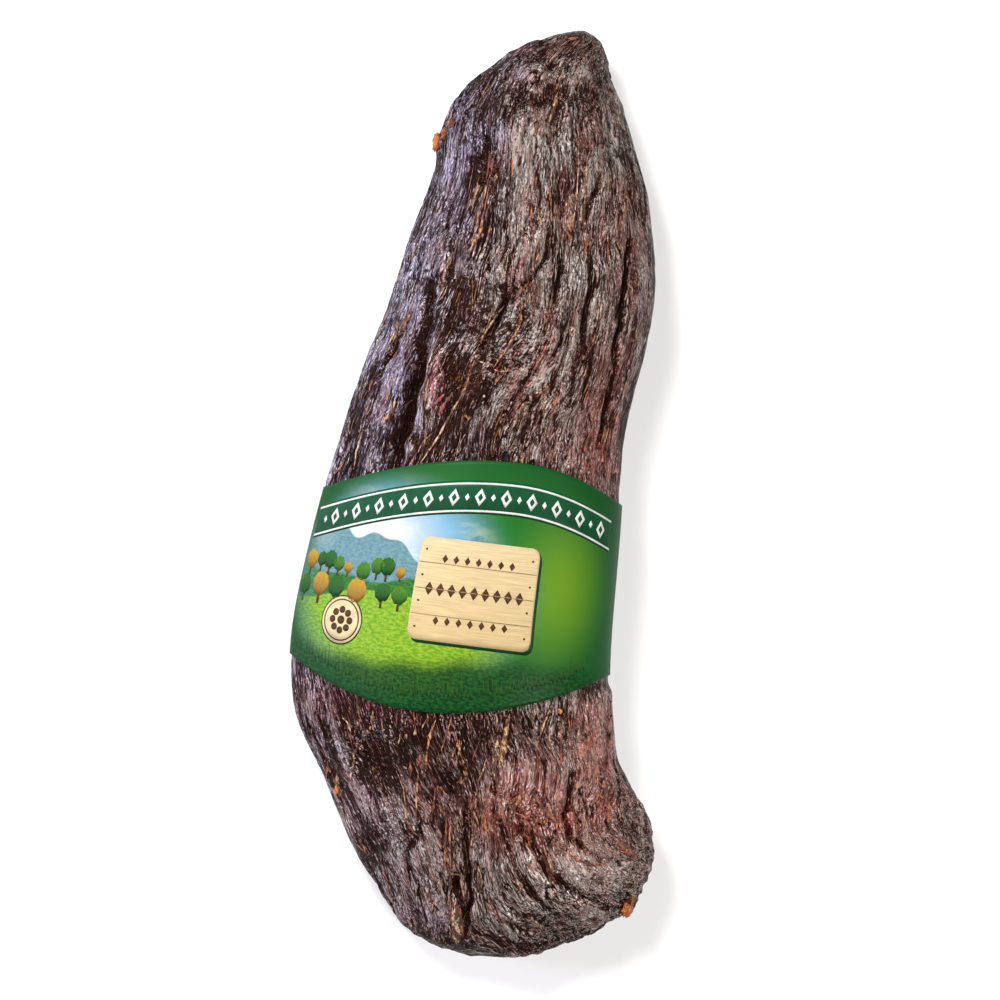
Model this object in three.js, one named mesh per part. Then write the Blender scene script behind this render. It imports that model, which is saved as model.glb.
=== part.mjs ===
// A whole dried beef prosciutto, lying on its back with a printed card sleeve round its middle.
//
// Millimetres, +Z up. +Y runs along the meat from the broad end to the narrow tip, +X is the
// right-hand side seen from above, and the origin is on the table under the middle of the piece.
//
// The meat is a skin laid over ribs: each rib spans from the left edge to the right edge, arches
// up to a crest and down to a keel, and a smooth curve runs through all the ribs. Furrows, ledges
// and swells are then pressed into that skin along its normal. The sleeve is a closed band that
// follows the same skin a little further out.

import * as THREE from "three";

// Driving dimensions
const ROLL = 0.05; // the edges rise this much per millimetre from left to right
const TIP_HEIGHT = 20; // height of both ends above the table

// The arch of a section: (1 - |u|^power)^(1 / root), where u runs from -1 at the left edge to 1.
const LEFT_ARCH = { power: 1.75, root: 1.3 }; // a long slope, the flank that faces left
const RIGHT_ARCH = { power: 2.3, root: 1.9 }; // a full shoulder
const KEEL_ARCH = { power: 3.2, root: 2.4 }; // nearly flat underneath

// Ribs from the broad end to the tip: plan places of both edges, and the heights above the table
// of the edge, the crest and the keel. A keel under 0 is pressed flat by the table.
const RIBS = [
  { left: [12, -210], right: [12, -210], side: TIP_HEIGHT, crest: TIP_HEIGHT, keel: TIP_HEIGHT },
  { left: [-18, -201], right: [50, -202], side: 20, crest: 34, keel: 6 },
  { left: [-41, -174], right: [80.5, -176], side: 20, crest: 46, keel: 1.5 },
  { left: [-58.5, -147], right: [85, -144], side: 20, crest: 54, keel: -0.8 },
  { left: [-78.5, -112], right: [66, -112], side: 21, crest: 59, keel: 0.4 },
  { left: [-85, -75], right: [58, -75], side: 23, crest: 62, keel: 1.8 },
  { left: [-79.5, -15], right: [55, -15], side: 24, crest: 61, keel: 1.8 },
  { left: [-70, 36], right: [53, 36], side: 23, crest: 59, keel: 0.6 },
  { left: [-59, 88], right: [57, 88], side: 22, crest: 55, keel: -0.8 },
  { left: [-48, 138], right: [50, 135], side: 20, crest: 50, keel: -0.6 },
  { left: [-43.5, 171], right: [38, 168], side: 19, crest: 43, keel: 1.5 },
  { left: [-25, 193], right: [26, 191.5], side: 19, crest: 34, keel: 6 },
  { left: [0, 206.8], right: [19.6, 205.3], side: 20, crest: 27, keel: 13 },
  { left: [12, 210], right: [12, 210], side: TIP_HEIGHT, crest: TIP_HEIGHT, keel: TIP_HEIGHT },
];

// Furrows pressed into the upper face, as polylines in plan.
const FURROWS = [
  { name: "left cleft, upper", path: [[-40, 90], [-43, 50]], halfWidth: 4.5, depth: 3.5 },
  { name: "left cleft, lower", path: [[-43, 50], [-49.5, 2]], halfWidth: 5, depth: 6 },
  { name: "inner right groove", path: [[24, 128], [27, 88], [30, 62]], halfWidth: 4, depth: 1.8 },
  { name: "outer right groove", path: [[41, 116], [43, 66], [42, 23]], halfWidth: 4, depth: 2.6 },
  { name: "slanting slit", path: [[-7, 88], [-20, 52]], halfWidth: 4, depth: 2.2 },
  { name: "middle groove", path: [[16, 54], [2, 20]], halfWidth: 4, depth: 1.8 },
  { name: "broad end valley", path: [[0, -110], [2, -145], [8.5, -206]], halfWidth: 8, depth: 2.2 },
  { name: "broad end groove", path: [[3, -152], [6, -170], [9.5, -184], [8, -206]], halfWidth: 4, depth: 3.2 },
  { name: "string slit", path: [[1.5, -174], [5.5, -199]], halfWidth: 4, depth: 3 },
  { name: "crease by the lobe", path: [[47, -121], [46, -140], [64, -158]], halfWidth: 4.5, depth: 3.5 },
  { name: "hollow under the tip", path: [[-12, 177], [-2, 175]], halfWidth: 5, depth: 3 },
  { name: "pitted hollow", path: [[-48, -118], [-34, -134]], halfWidth: 9, depth: 2.6 },
  { name: "dark hollow", path: [[-27, 54], [-25, 42]], halfWidth: 6, depth: 2.4 },
];

// Swells raised on the upper face: middle in plan, reach along X and Y, and height.
const SWELLS = [
  { name: "knob under the tip", at: [-12, 186], reach: [7, 6], height: 3.2 },
  { name: "second knob", at: [11.5, 189], reach: [7, 6], height: 2.2 },
  { name: "third knob", at: [-20, 180], reach: [5, 5], height: 1.8 },
  { name: "pale brow", at: [-11, 155], reach: [11, 24], height: 2.6 },
  { name: "ridge beside the cleft", at: [-35, 52], reach: [5, 34], height: 3 },
  { name: "outer flank ridge", at: [-56, 40], reach: [6, 30], height: 2 },
  { name: "right shoulder", at: [36, 90], reach: [9, 44], height: 2 },
  { name: "left cheek of the broad end", at: [-24, -160], reach: [17, 24], height: 3.4 },
  { name: "right cheek of the broad end", at: [42, -176], reach: [26, 17], height: 3.4 },
  { name: "lobe", at: [72, -146], reach: [14, 18], height: 3 },
  { name: "red muscle", at: [28, -126], reach: [12, 14], height: 2 },
];

// Nubs of fat that stand out of the edges: middle, reach and height.
const NUBS = [
  { name: "nub on the left edge", at: [-48, 152, 20], reach: 5, height: 3.4 },
  { name: "nub on the broad end", at: [80, -180, 22], reach: 5, height: 4.2 },
];

// The table side: places where the meat has settled flat.
const PADS = [
  { at: [14, -150], reach: 26, height: 1.6 },
  { at: [-22, 104], reach: 22, height: 1.4 },
  { at: [20, 112], reach: 20, height: 1.4 },
];

// The ledge where the upper muscle ends above the wrinkled one: height of the step, and its line.
const LEDGE = { from: -44, to: 6, y: 90, slope: 0.07, height: 2.2, softness: 3.5 };

// Sleeve
const SLEEVE_GAP = 0.5; // from the smooth skin to the inner face of the card
const SLEEVE_CARD = 0.5; // thickness of the card
// Each edge is y = peak - bow * (x - middle)^2, with one bow left of its middle and one right of it.
const SLEEVE_TOP = { peak: 12.9, middle: 8, leftBow: 0.0031, rightBow: 0.0064 };
const SLEEVE_BOTTOM = { peak: -101.6, middle: -28, leftBow: -0.006, rightBow: -0.0031 };
const SLEEVE_INSET = 0.2; // how far the meat is drawn in under the card
const SLEEVE_FADE = 9; // length over which the meat swells back beyond the card's edges

// Fineness of the meshes
const MEAT_ROWS = 82;
const TOP_COLUMNS = 46;
const KEEL_COLUMNS = 22;
const CREST_CROWDING = 0.35; // share by which the columns draw together at the crest and the keel
const SLEEVE_ROWS = 5;
const END_CROWDING = 9; // extra length per rib that draws rows towards the ends

const smooth = (low, high, x) => THREE.MathUtils.smoothstep(x, low, high);

// One number of all the ribs as a smooth curve of the rib number.
function ribCurve(value) {
  const points = RIBS.map((rib, k) => new THREE.Vector2(k, value(rib)));
  const curve = new THREE.SplineCurve(points);
  return (s) => curve.getPoint(s / (RIBS.length - 1)).y;
}

const leftX = ribCurve((rib) => rib.left[0]);
const leftY = ribCurve((rib) => rib.left[1]);
const rightX = ribCurve((rib) => rib.right[0]);
const rightY = ribCurve((rib) => rib.right[1]);
const sideZ = ribCurve((rib) => rib.side);
const crestZ = ribCurve((rib) => rib.crest);
const keelZ = ribCurve((rib) => rib.keel);

const arch = (u, shape) => Math.max(0, 1 - Math.abs(u) ** shape.power) ** (1 / shape.root);

// The smooth skin at rib number s and angle a. From 0 to pi it runs over the top from the left
// edge to the right edge, and from pi to 2 pi it comes back underneath.
function skin(s, a) {
  const u = -Math.cos(a);
  const across = (u + 1) / 2;
  const side = sideZ(s);
  const roll = ROLL * (across - 0.5) * (rightX(s) - leftX(s));
  const over = (crestZ(s) - side) * arch(u, u < 0 ? LEFT_ARCH : RIGHT_ARCH);
  const keel = arch(u, KEEL_ARCH);
  const under = (keelZ(s) - side) * keel - roll * keel;
  return new THREE.Vector3(
    THREE.MathUtils.lerp(leftX(s), rightX(s), across),
    THREE.MathUtils.lerp(leftY(s), rightY(s), across),
    side + roll + (a <= Math.PI ? over : under),
  );
}

// The outward normal of the skin, from small steps each way.
function skinNormal(s, a) {
  const step = 1e-3;
  const low = Math.max(s - step, 0);
  const high = Math.min(s + step, RIBS.length - 1);
  const along = skin(high, a).sub(skin(low, a));
  const round = skin(s, (a + step) % (2 * Math.PI)).sub(skin(s, (a - step + 2 * Math.PI) % (2 * Math.PI)));
  return round.cross(along).normalize();
}

// Distance in plan from (x, y) to a polyline.
function planDistance(x, y, path) {
  const here = new THREE.Vector2(x, y);
  let least = Infinity;
  for (let i = 1; i < path.length; i++) {
    const start = new THREE.Vector2(...path[i - 1]);
    const span = new THREE.Vector2(...path[i]).sub(start);
    const share = THREE.MathUtils.clamp(here.clone().sub(start).dot(span) / span.lengthSq(), 0, 1);
    least = Math.min(least, here.distanceTo(start.addScaledVector(span, share)));
  }
  return least;
}

const bell = (distance, reach) => Math.exp(-((distance / reach) ** 2));

// Broad undulation of the dried surface, as crossed sine waves of three sizes.
function undulation(x, y) {
  return (
    1.3 * Math.sin(x / 13 + 0.6) * Math.sin(y / 31 + 1.1) +
    0.9 * Math.sin(x / 7.5 + y / 40 + 2.0) * Math.sin(y / 19 + 0.4) +
    0.5 * Math.sin(x / 4.9 - y / 55) * Math.sin(y / 12.5 + 2.2)
  );
}

// Everything pressed into or raised on the upper face at a place of the skin.
function upperRelief(p) {
  let height = undulation(p.x, p.y);
  for (const furrow of FURROWS) {
    height -= furrow.depth * bell(planDistance(p.x, p.y, furrow.path), furrow.halfWidth);
  }
  for (const swell of SWELLS) {
    const away = Math.hypot((p.x - swell.at[0]) / swell.reach[0], (p.y - swell.at[1]) / swell.reach[1]);
    height += swell.height * bell(away, 1);
  }
  const inLedge = smooth(LEDGE.from - 4, LEDGE.from, p.x) * (1 - smooth(LEDGE.to, LEDGE.to + 12, p.x));
  const beyond = p.y - LEDGE.y - LEDGE.slope * (p.x - LEDGE.from);
  const step = smooth(-LEDGE.softness, LEDGE.softness, beyond) * (1 - smooth(4, 40, beyond));
  return height + LEDGE.height * step * inLedge;
}

// The same for the side that lies on the table.
function lowerRelief(p) {
  let height = 0.6 * undulation(-p.x + 20, p.y + 37);
  for (const pad of PADS) {
    height += pad.height * bell(Math.hypot(p.x - pad.at[0], p.y - pad.at[1]), pad.reach);
  }
  return height;
}

const sleeveEdge = (edge, x) => {
  const bow = x < edge.middle ? edge.leftBow : edge.rightBow;
  return edge.peak - bow * (x - edge.middle) ** 2;
};

// How much the card covers a place: 1 under the sleeve, fading to 0 beyond its edges.
function underSleeve(p) {
  const low = sleeveEdge(SLEEVE_BOTTOM, p.x);
  const high = sleeveEdge(SLEEVE_TOP, p.x);
  return smooth(low - SLEEVE_FADE, low - 1, p.y) * (1 - smooth(high + 1, high + SLEEVE_FADE, p.y));
}

// The real surface of the meat at rib number s and angle a.
function meatPoint(s, a) {
  const p = skin(s, a);
  const normal = skinNormal(s, a);
  const facing = smooth(-0.35, 0.35, normal.z);
  let relief = THREE.MathUtils.lerp(lowerRelief(p), upperRelief(p), facing);
  relief = THREE.MathUtils.lerp(relief, Math.min(relief, 0) * 0.5 - SLEEVE_INSET, underSleeve(p));
  for (const nub of NUBS) {
    relief += nub.height * bell(p.distanceTo(new THREE.Vector3(...nub.at)), nub.reach);
  }
  p.addScaledVector(normal, relief);
  p.z = Math.max(p.z, 0);
  return p;
}

// Rib numbers of the rows, spread by the length the edges travel between the ribs.
function rowPlaces(count) {
  const fine = 40 * (RIBS.length - 1);
  const at = (i) => (i / fine) * (RIBS.length - 1);
  const travelled = [0];
  for (let i = 1; i <= fine; i++) {
    const [a, b] = [at(i - 1), at(i)];
    const left = Math.hypot(leftX(b) - leftX(a), leftY(b) - leftY(a));
    const right = Math.hypot(rightX(b) - rightX(a), rightY(b) - rightY(a));
    travelled.push(travelled[i - 1] + (left + right) / 2 + END_CROWDING * (b - a));
  }
  const places = [];
  for (let row = 1, i = 1; row < count; row++) {
    const wanted = (row / count) * travelled[fine];
    while (travelled[i] < wanted) i++;
    const share = (wanted - travelled[i - 1]) / (travelled[i] - travelled[i - 1]);
    places.push(at(i - 1 + share));
  }
  return places;
}

// A closed skin from rings of points between two end points.
function closedSkin(rings, first, last) {
  const around = rings[0].length;
  const positions = [first, ...rings.flat(), last].flatMap((p) => [p.x, p.y, p.z]);
  const at = (ring, column) => 1 + ring * around + (column % around);
  const end = 1 + rings.length * around;
  const faces = [];
  for (let column = 0; column < around; column++) {
    faces.push(0, at(0, column + 1), at(0, column));
    for (let ring = 1; ring < rings.length; ring++) {
      faces.push(at(ring - 1, column), at(ring, column + 1), at(ring, column));
      faces.push(at(ring - 1, column), at(ring - 1, column + 1), at(ring, column + 1));
    }
    faces.push(end, at(rings.length - 1, column), at(rings.length - 1, column + 1));
  }
  return geometryOf(positions, faces);
}

// A closed band: rings of equal length, where the last ring meets the first again.
function closedBand(rings) {
  const around = rings[0].length;
  const positions = rings.flat().flatMap((p) => [p.x, p.y, p.z]);
  const at = (ring, column) => (ring % rings.length) * around + (column % around);
  const faces = [];
  for (let ring = 0; ring < rings.length; ring++) {
    for (let column = 0; column < around; column++) {
      faces.push(at(ring, column), at(ring + 1, column + 1), at(ring + 1, column));
      faces.push(at(ring, column), at(ring, column + 1), at(ring + 1, column + 1));
    }
  }
  return geometryOf(positions, faces);
}

function geometryOf(positions, faces) {
  const geometry = new THREE.BufferGeometry();
  geometry.setAttribute("position", new THREE.Float32BufferAttribute(positions, 3));
  geometry.setIndex(faces);
  geometry.computeVertexNormals();
  return geometry;
}

// Angles of the columns. Even steps would leave the crest and the keel coarser than the edges.
function columnAngles() {
  const turn = (share) => {
    return Math.PI * (share + (CREST_CROWDING * Math.sin(2 * Math.PI * share)) / (2 * Math.PI));
  };
  const angles = [];
  for (let i = 0; i < TOP_COLUMNS; i++) angles.push(turn(i / TOP_COLUMNS));
  for (let i = 0; i < KEEL_COLUMNS; i++) angles.push(Math.PI + turn(i / KEEL_COLUMNS));
  return angles;
}

function makeMeat() {
  const angles = columnAngles();
  const rings = rowPlaces(MEAT_ROWS).map((s) => angles.map((a) => meatPoint(s, a)));
  const geometry = closedSkin(rings, skin(0, 0), skin(RIBS.length - 1, 0));
  const material = new THREE.MeshStandardMaterial({ color: 0x4a3230, roughness: 0.55, metalness: 0 });
  const mesh = new THREE.Mesh(geometry, material);
  mesh.name = "prosciutto";
  return mesh;
}

// Rib number where the skin reaches y. The ribs under the sleeve lie square to Y.
function ribAt(y) {
  let [low, high] = [3, 8];
  for (let i = 0; i < 40; i++) {
    const middle = (low + high) / 2;
    if (leftY(middle) < y) low = middle;
    else high = middle;
  }
  return (low + high) / 2;
}

// A place on the card: share runs from its lower edge to its upper edge, and lift is the height
// over the smooth skin. Underneath, each edge runs straight from one side to the other.
function sleevePoint(share, a, lift) {
  const edgeAt = (edge) => {
    const s = ribAt(edge.peak);
    const x = THREE.MathUtils.lerp(leftX(s), rightX(s), (1 - Math.cos(a)) / 2);
    if (a <= Math.PI) return sleeveEdge(edge, x);
    const across = (x - leftX(s)) / (rightX(s) - leftX(s));
    return THREE.MathUtils.lerp(sleeveEdge(edge, leftX(s)), sleeveEdge(edge, rightX(s)), across);
  };
  const y = THREE.MathUtils.lerp(edgeAt(SLEEVE_BOTTOM), edgeAt(SLEEVE_TOP), share);
  const s = ribAt(y);
  return skin(s, a).addScaledVector(skinNormal(s, a), lift);
}

function makeSleeve() {
  const angles = columnAngles();
  const ring = (share, lift) => angles.map((a) => sleevePoint(share, a, lift));
  const rings = [];
  for (let row = 0; row <= SLEEVE_ROWS; row++) rings.push(ring(row / SLEEVE_ROWS, SLEEVE_GAP + SLEEVE_CARD));
  for (let row = SLEEVE_ROWS; row >= 0; row--) rings.push(ring(row / SLEEVE_ROWS, SLEEVE_GAP));
  const material = new THREE.MeshStandardMaterial({ color: 0x1f7a2e, roughness: 0.35, metalness: 0 });
  const mesh = new THREE.Mesh(closedBand(rings), material);
  mesh.name = "sleeve";
  return mesh;
}

const prosciutto = new THREE.Group();
prosciutto.add(makeMeat(), makeSleeve());

export default prosciutto;
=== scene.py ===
"""A whole dried beef prosciutto in a printed paper sleeve, lying on a pale table.

The meat is one closed skin over ribs, as in the solid that it replaces, with its muscle bundles,
wrinkles, furrows and swells pressed in along the skin's normal. Tendons, fat nubs, the paper
sleeve and the fields of its print are surfaces laid on the same skin.

All shapes are worked out in millimetres, +Z up and +Y towards the narrow tip, and go into the
meshes in metres.
"""

import math
from collections import namedtuple
from types import SimpleNamespace

import bpy
import numpy as np
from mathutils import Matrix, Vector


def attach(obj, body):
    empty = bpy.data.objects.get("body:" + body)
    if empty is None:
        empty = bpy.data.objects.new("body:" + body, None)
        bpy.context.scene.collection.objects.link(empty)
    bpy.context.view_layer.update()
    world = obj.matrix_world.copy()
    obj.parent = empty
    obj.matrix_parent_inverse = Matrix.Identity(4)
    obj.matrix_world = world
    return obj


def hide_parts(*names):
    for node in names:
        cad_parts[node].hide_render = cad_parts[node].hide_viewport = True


bl_info = {
    "name": "Dried beef prosciutto",
    "version": (1, 0, 0),
    "blender": (4, 5, 0),
    "location": "3D View > Sidebar > Prosciutto",
    "description": "Builds a whole dried beef prosciutto in its printed paper sleeve",
    "category": "Add Mesh",
}

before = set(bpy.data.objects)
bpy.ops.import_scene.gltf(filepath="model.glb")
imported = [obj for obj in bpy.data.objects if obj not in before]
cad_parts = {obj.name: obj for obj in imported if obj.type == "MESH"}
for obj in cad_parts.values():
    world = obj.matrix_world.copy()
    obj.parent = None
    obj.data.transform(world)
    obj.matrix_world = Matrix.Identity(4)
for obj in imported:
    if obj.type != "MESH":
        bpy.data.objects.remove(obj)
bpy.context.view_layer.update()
METRES = 0.001  # metres in a millimetre

# The skin's ribs, from the broad end to the tip, in millimetres.
TIP_HEIGHT = 20
ROLL = 0.05
Arch = namedtuple("Arch", "power root")
LEFT_ARCH = Arch(power=1.75, root=1.3)
RIGHT_ARCH = Arch(power=2.3, root=1.9)
KEEL_ARCH = Arch(power=3.2, root=2.4)
Rib = namedtuple("Rib", "left right side crest keel")
RIBS = (
    Rib((12, -210), (12, -210), side=TIP_HEIGHT, crest=TIP_HEIGHT, keel=TIP_HEIGHT),
    Rib((-18, -201), (50, -202), side=20, crest=34, keel=6),
    Rib((-41, -174), (80.5, -176), side=20, crest=46, keel=1.5),
    Rib((-58.5, -147), (85, -144), side=20, crest=54, keel=-0.8),
    Rib((-78.5, -112), (66, -112), side=21, crest=59, keel=0.4),
    Rib((-85, -75), (58, -75), side=23, crest=62, keel=1.8),
    Rib((-79.5, -15), (55, -15), side=24, crest=61, keel=1.8),
    Rib((-70, 36), (53, 36), side=23, crest=59, keel=0.6),
    Rib((-59, 88), (57, 88), side=22, crest=55, keel=-0.8),
    Rib((-48, 138), (50, 135), side=20, crest=50, keel=-0.6),
    Rib((-43.5, 171), (38, 168), side=19, crest=43, keel=1.5),
    Rib((-25, 193), (26, 191.5), side=19, crest=34, keel=6),
    Rib((0, 206.8), (19.6, 205.3), side=20, crest=27, keel=13),
    Rib((12, 210), (12, 210), side=TIP_HEIGHT, crest=TIP_HEIGHT, keel=TIP_HEIGHT),
)
LAST_RIB = len(RIBS) - 1


def with_paths(kind, *rows):
    """Furrows or strands from rows of two numbers and the places along a path."""
    return [kind(row[0], row[1], row[2:]) for row in rows]


# What is pressed into the upper face: half width, depth and path in plan.
Furrow = namedtuple("Furrow", "half_width depth path")
FURROWS = with_paths(
    Furrow,
    (3.2, 3.5, (-40, 90), (-42, 66), (-43.5, 50)),
    (3.0, 8.0, (-43.5, 50), (-46, 36), (-49.5, 2), (-50.5, -8)),
    (1.0, 2.2, (-53.5, 62), (-54.5, 56), (-57, 50), (-58.5, 44)),
    (1.1, 2.4, (8, 118), (7, 105), (4, 97), (-1, 91)),
    (1.0, 2.2, (15, 104), (14, 94), (14, 84)),
    (1.0, 2.2, (27, 112), (29, 96), (28, 80), (28, 70), (30, 62)),
    (1.1, 2.4, (44, 118), (42, 108), (43, 96), (43, 80), (42, 70), (44, 60)),
    (1.1, 1.9, (43, 56), (42, 40), (41, 24)),
    (0.9, 1.4, (18, 78), (19, 68), (15, 60)),
    (0.9, 1.6, (27, 56), (26, 48), (25, 40)),
    (0.9, 1.6, (33, 60), (31, 40)),
    (1.4, 3.4, (-7.5, 84), (-10.5, 76), (-13.5, 69), (-17, 60)),
    (1.6, 2.4, (8, 54), (1, 42), (-2, 34)),
    (1.2, 1.8, (-11, 48), (-10, 36)),
    (1.0, 1.8, (-8, 165), (-9, 150), (-8, 140)),
    (1.0, 1.6, (-3, 158), (-3, 146)),
    (1.1, 2.2, (27, 145), (24, 130), (23, 120)),
    (1.7, 2.8, (-26, 160), (-24.5, 148), (-23.5, 136)),
    (3.0, 1.4, (-12, 176), (-3, 174), (2, 177)),
    (1.2, 2.8, (2.5, -150), (4, -160), (6.5, -175), (9.5, -184), (8, -190), (8.5, -198)),
    (8.0, 2.2, (1, -135), (4, -160), (8.5, -188), (8, -208)),
    (1.7, 3.2, (0.8, -173), (1.6, -178), (2.4, -182)),
    (1.7, 3.4, (47.2, -121), (46.3, -139), (49.9, -150), (64.5, -158)),
    (1.4, 2.0, (18, -146), (27, -166), (42, -182)),
    (1.4, 1.8, (30, -150), (42, -166), (60, -176)),
    (1.6, 1.4, (-16, -150), (-22, -170), (-12, -190)),
    (8.0, 2.6, (-48, -118), (-34, -134)),
    (5.0, 2.6, (-27, 54), (-25, 42)),
)

# A bell over the skin in plan: its middle, its reach along X and Y, and its strength.
Patch = namedtuple("Patch", "at reach strength")


def patches(*rows):
    """Patches from rows of the middle's x and y, the reach along x and y, and the strength."""
    return [Patch(row[:2], row[2:4], row[4]) for row in rows]


# What swells out of the upper face; a strength is a height in millimetres.
SWELLS = patches(
    (-12, 186, 6, 5.5, 3.4), (11.5, 189, 6, 5.5, 2.2), (-20, 180, 4.5, 4.5, 1.8), (-11, 155, 11, 24, 2.6),
    (-35, 52, 5, 34, 3.0), (-56, 40, 6, 30, 2.0), (36, 90, 9, 44, 2.0), (-24, -160, 17, 24, 3.4),
    (42, -176, 26, 17, 3.4), (72, -146, 14, 18, 3.0), (28, -126, 12, 14, 2.0),
)
NUBS = (((-48, 152, 20), 5, 3.4), ((80, -180, 22), 5, 4.2))  # middle, reach and height
PADS = (((14, -150), 26, 1.6), ((-22, 104), 22, 1.4), ((20, 112), 20, 1.4))
LEDGE_FROM, LEDGE_TO, LEDGE_Y, LEDGE_SLOPE = -44, 6, 90, 0.07
LEDGE_HEIGHT, LEDGE_SOFTNESS = 2.2, 1.6

# Where the texture changes: the smooth cheek, the crumpled places and the knotted tip. A layer of
# the texture has its width across the fibres and its length along them.
CHEEK = patches((-28, -156, 26, 34, 1))
CRUMPLED_FORMS = patches((-4, 64, 20, 26, 1), (-44, -124, 18, 16, 1))
KNOTTED_TIP = patches((2, 184, 26, 15, 1))
BUNDLE, WRINKLE, FIBRE, ARC_FIBRE = (11, 62), (5.0, 34), (2.9, 19), (3.6, 12)
CRACK_DEPTH = 1.2

# Where the fibres of the broad end curve round the lobe.
SWIRL_AT = (95, -128)
SWIRL_TURN = 55  # length along the fibres for each radian round the swirl
STRAIGHT_HALF_WIDTH = 65

# The sleeve's edges over the front: y = peak - bow * (x - middle)^2, with a bow on either side.
Edge = namedtuple("Edge", "peak middle left_bow right_bow")
SLEEVE_TOP = Edge(12.9, 8, 0.0031, 0.0064)
SLEEVE_BOTTOM = Edge(-101.6, -28, -0.006, -0.0031)
SLEEVE_INSET = 0.2
SLEEVE_FADE = 7
SLEEVE_ROWS, SLEEVE_COLUMNS = 64, 240
SLEEVE_START = 1.5 * math.pi  # the angle underneath where the strip starts


class MeatSettings(bpy.types.PropertyGroup):
    """Sizes and colours of the dried meat."""

    rows: bpy.props.IntProperty(
        name="Rows", description="Rings of points along the meat", default=354, min=40
    )
    top_columns: bpy.props.IntProperty(
        name="Top columns", description="Columns over the shown face", default=232, min=24
    )
    keel_columns: bpy.props.IntProperty(
        name="Keel columns", description="Columns underneath", default=48, min=12
    )
    bundle_height: bpy.props.FloatProperty(
        name="Bundle height", description="Height of the muscle bundles in millimetres", default=0.8
    )
    wrinkle_height: bpy.props.FloatProperty(
        name="Wrinkle height", description="Height of the wrinkles in millimetres", default=0.42
    )
    fibre_height: bpy.props.FloatProperty(
        name="Fibre height", description="Height of the single fibres in millimetres", default=0.22
    )
    flesh: bpy.props.FloatVectorProperty(
        name="Flesh", description="Dark dried flesh",
        subtype="COLOR", size=3, default=(0.0695, 0.0425, 0.033),
    )
    # The crevice colour is painted shade in the hollows and cracks.
    crevice_shade: bpy.props.FloatVectorProperty(
        name="Crevice", description="Soot-dark hollows",
        subtype="COLOR", size=3, default=(0.011, 0.0032, 0.0014),
    )
    # The bloom colour is partly grey dry bloom and partly painted sheen on the ridges.
    bloom_and_sheen: bpy.props.FloatVectorProperty(
        name="Bloom", description="Grey dry bloom on the ridges",
        subtype="COLOR", size=3, default=(0.234, 0.193, 0.167),
    )
    # The dry colour is lighter dried flesh, partly painted light on the rounds.
    dry: bpy.props.FloatVectorProperty(
        name="Dry", description="Dried flesh on the rounds",
        subtype="COLOR", size=3, default=(0.126, 0.090, 0.074),
    )
    raw: bpy.props.FloatVectorProperty(
        name="Raw", description="Red flesh where the crust is thin",
        subtype="COLOR", size=3, default=(0.170, 0.030, 0.026),
    )
    # The violet is partly the flank's own cast and partly painted cool light on the side that faces left.
    violet: bpy.props.FloatVectorProperty(
        name="Violet", description="Violet cast of the left flank",
        subtype="COLOR", size=3, default=(0.088, 0.065, 0.116),
    )
    tan: bpy.props.FloatVectorProperty(
        name="Tan", description="Tan and orange fibres",
        subtype="COLOR", size=3, default=(0.38, 0.165, 0.06),
    )


class SleeveSettings(bpy.types.PropertyGroup):
    """Sizes and colours of the paper sleeve."""

    gap: bpy.props.FloatProperty(
        name="Gap", description="From the smooth skin to the paper, in millimetres", default=0.5
    )
    paper: bpy.props.FloatProperty(
        name="Paper", description="Thickness of the paper in millimetres", default=0.35
    )
    ink: bpy.props.FloatProperty(
        name="Ink", description="Step between layers of the print, in millimetres", default=0.04
    )
    overlap: bpy.props.FloatProperty(
        name="Overlap", description="Glued overlap underneath, in degrees round the skin", default=9.0
    )
    green: bpy.props.FloatVectorProperty(
        name="Green", description="Middle green of the print",
        subtype="COLOR", size=3, default=(0.012, 0.110, 0.013),
    )
    dark_green: bpy.props.FloatVectorProperty(
        name="Dark green", description="Green at the edges",
        subtype="COLOR", size=3, default=(0.002, 0.042, 0.009),
    )


class StageSettings(bpy.types.PropertyGroup):
    """Camera, lights and table."""

    lens: bpy.props.FloatProperty(name="Lens", description="Focal length in millimetres", default=180.0)
    view_width: bpy.props.FloatProperty(
        name="View width", description="Width that the picture shows at the meat's edge",
        default=0.45, unit="LENGTH",
    )
    lean: bpy.props.FloatProperty(
        name="Lean", description="How far the meat leans to the right in the picture",
        default=math.radians(7.0), unit="ROTATION", subtype="ANGLE",
    )


def smooth(low, high, x):
    """0 below low, 1 above high, and 3t^2 - 2t^3 between them."""
    t = np.clip((x - low) / (high - low), 0, 1)
    return t * t * (3 - 2 * t)


def bell(distance, reach):
    """exp(-(distance / reach)^2)"""
    return np.exp(-((distance / reach) ** 2))


def mixed(a, b, share):
    """a where share is 0, b where it is 1."""
    return a + (b - a) * share


def rib_curve(values, s):
    """A number of all the ribs at rib number s, on the uniform spline that passes through them."""
    values = np.asarray(values, dtype=float)
    before = np.clip(np.floor(s).astype(int), 0, len(values) - 2)
    t = s - before
    p0, p1 = values[np.maximum(before - 1, 0)], values[before]
    p2, p3 = values[before + 1], values[np.minimum(before + 2, len(values) - 1)]
    v0, v1 = (p2 - p0) / 2, (p3 - p1) / 2
    return (2 * p1 - 2 * p2 + v0 + v1) * t**3 + (3 * (p2 - p1) - 2 * v0 - v1) * t**2 + v0 * t + p1


def left_x(s):
    """x of the left edge at rib number s."""
    return rib_curve([rib.left[0] for rib in RIBS], s)


def left_y(s):
    """y of the left edge."""
    return rib_curve([rib.left[1] for rib in RIBS], s)


def right_x(s):
    """x of the right edge."""
    return rib_curve([rib.right[0] for rib in RIBS], s)


def right_y(s):
    """y of the right edge."""
    return rib_curve([rib.right[1] for rib in RIBS], s)


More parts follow.
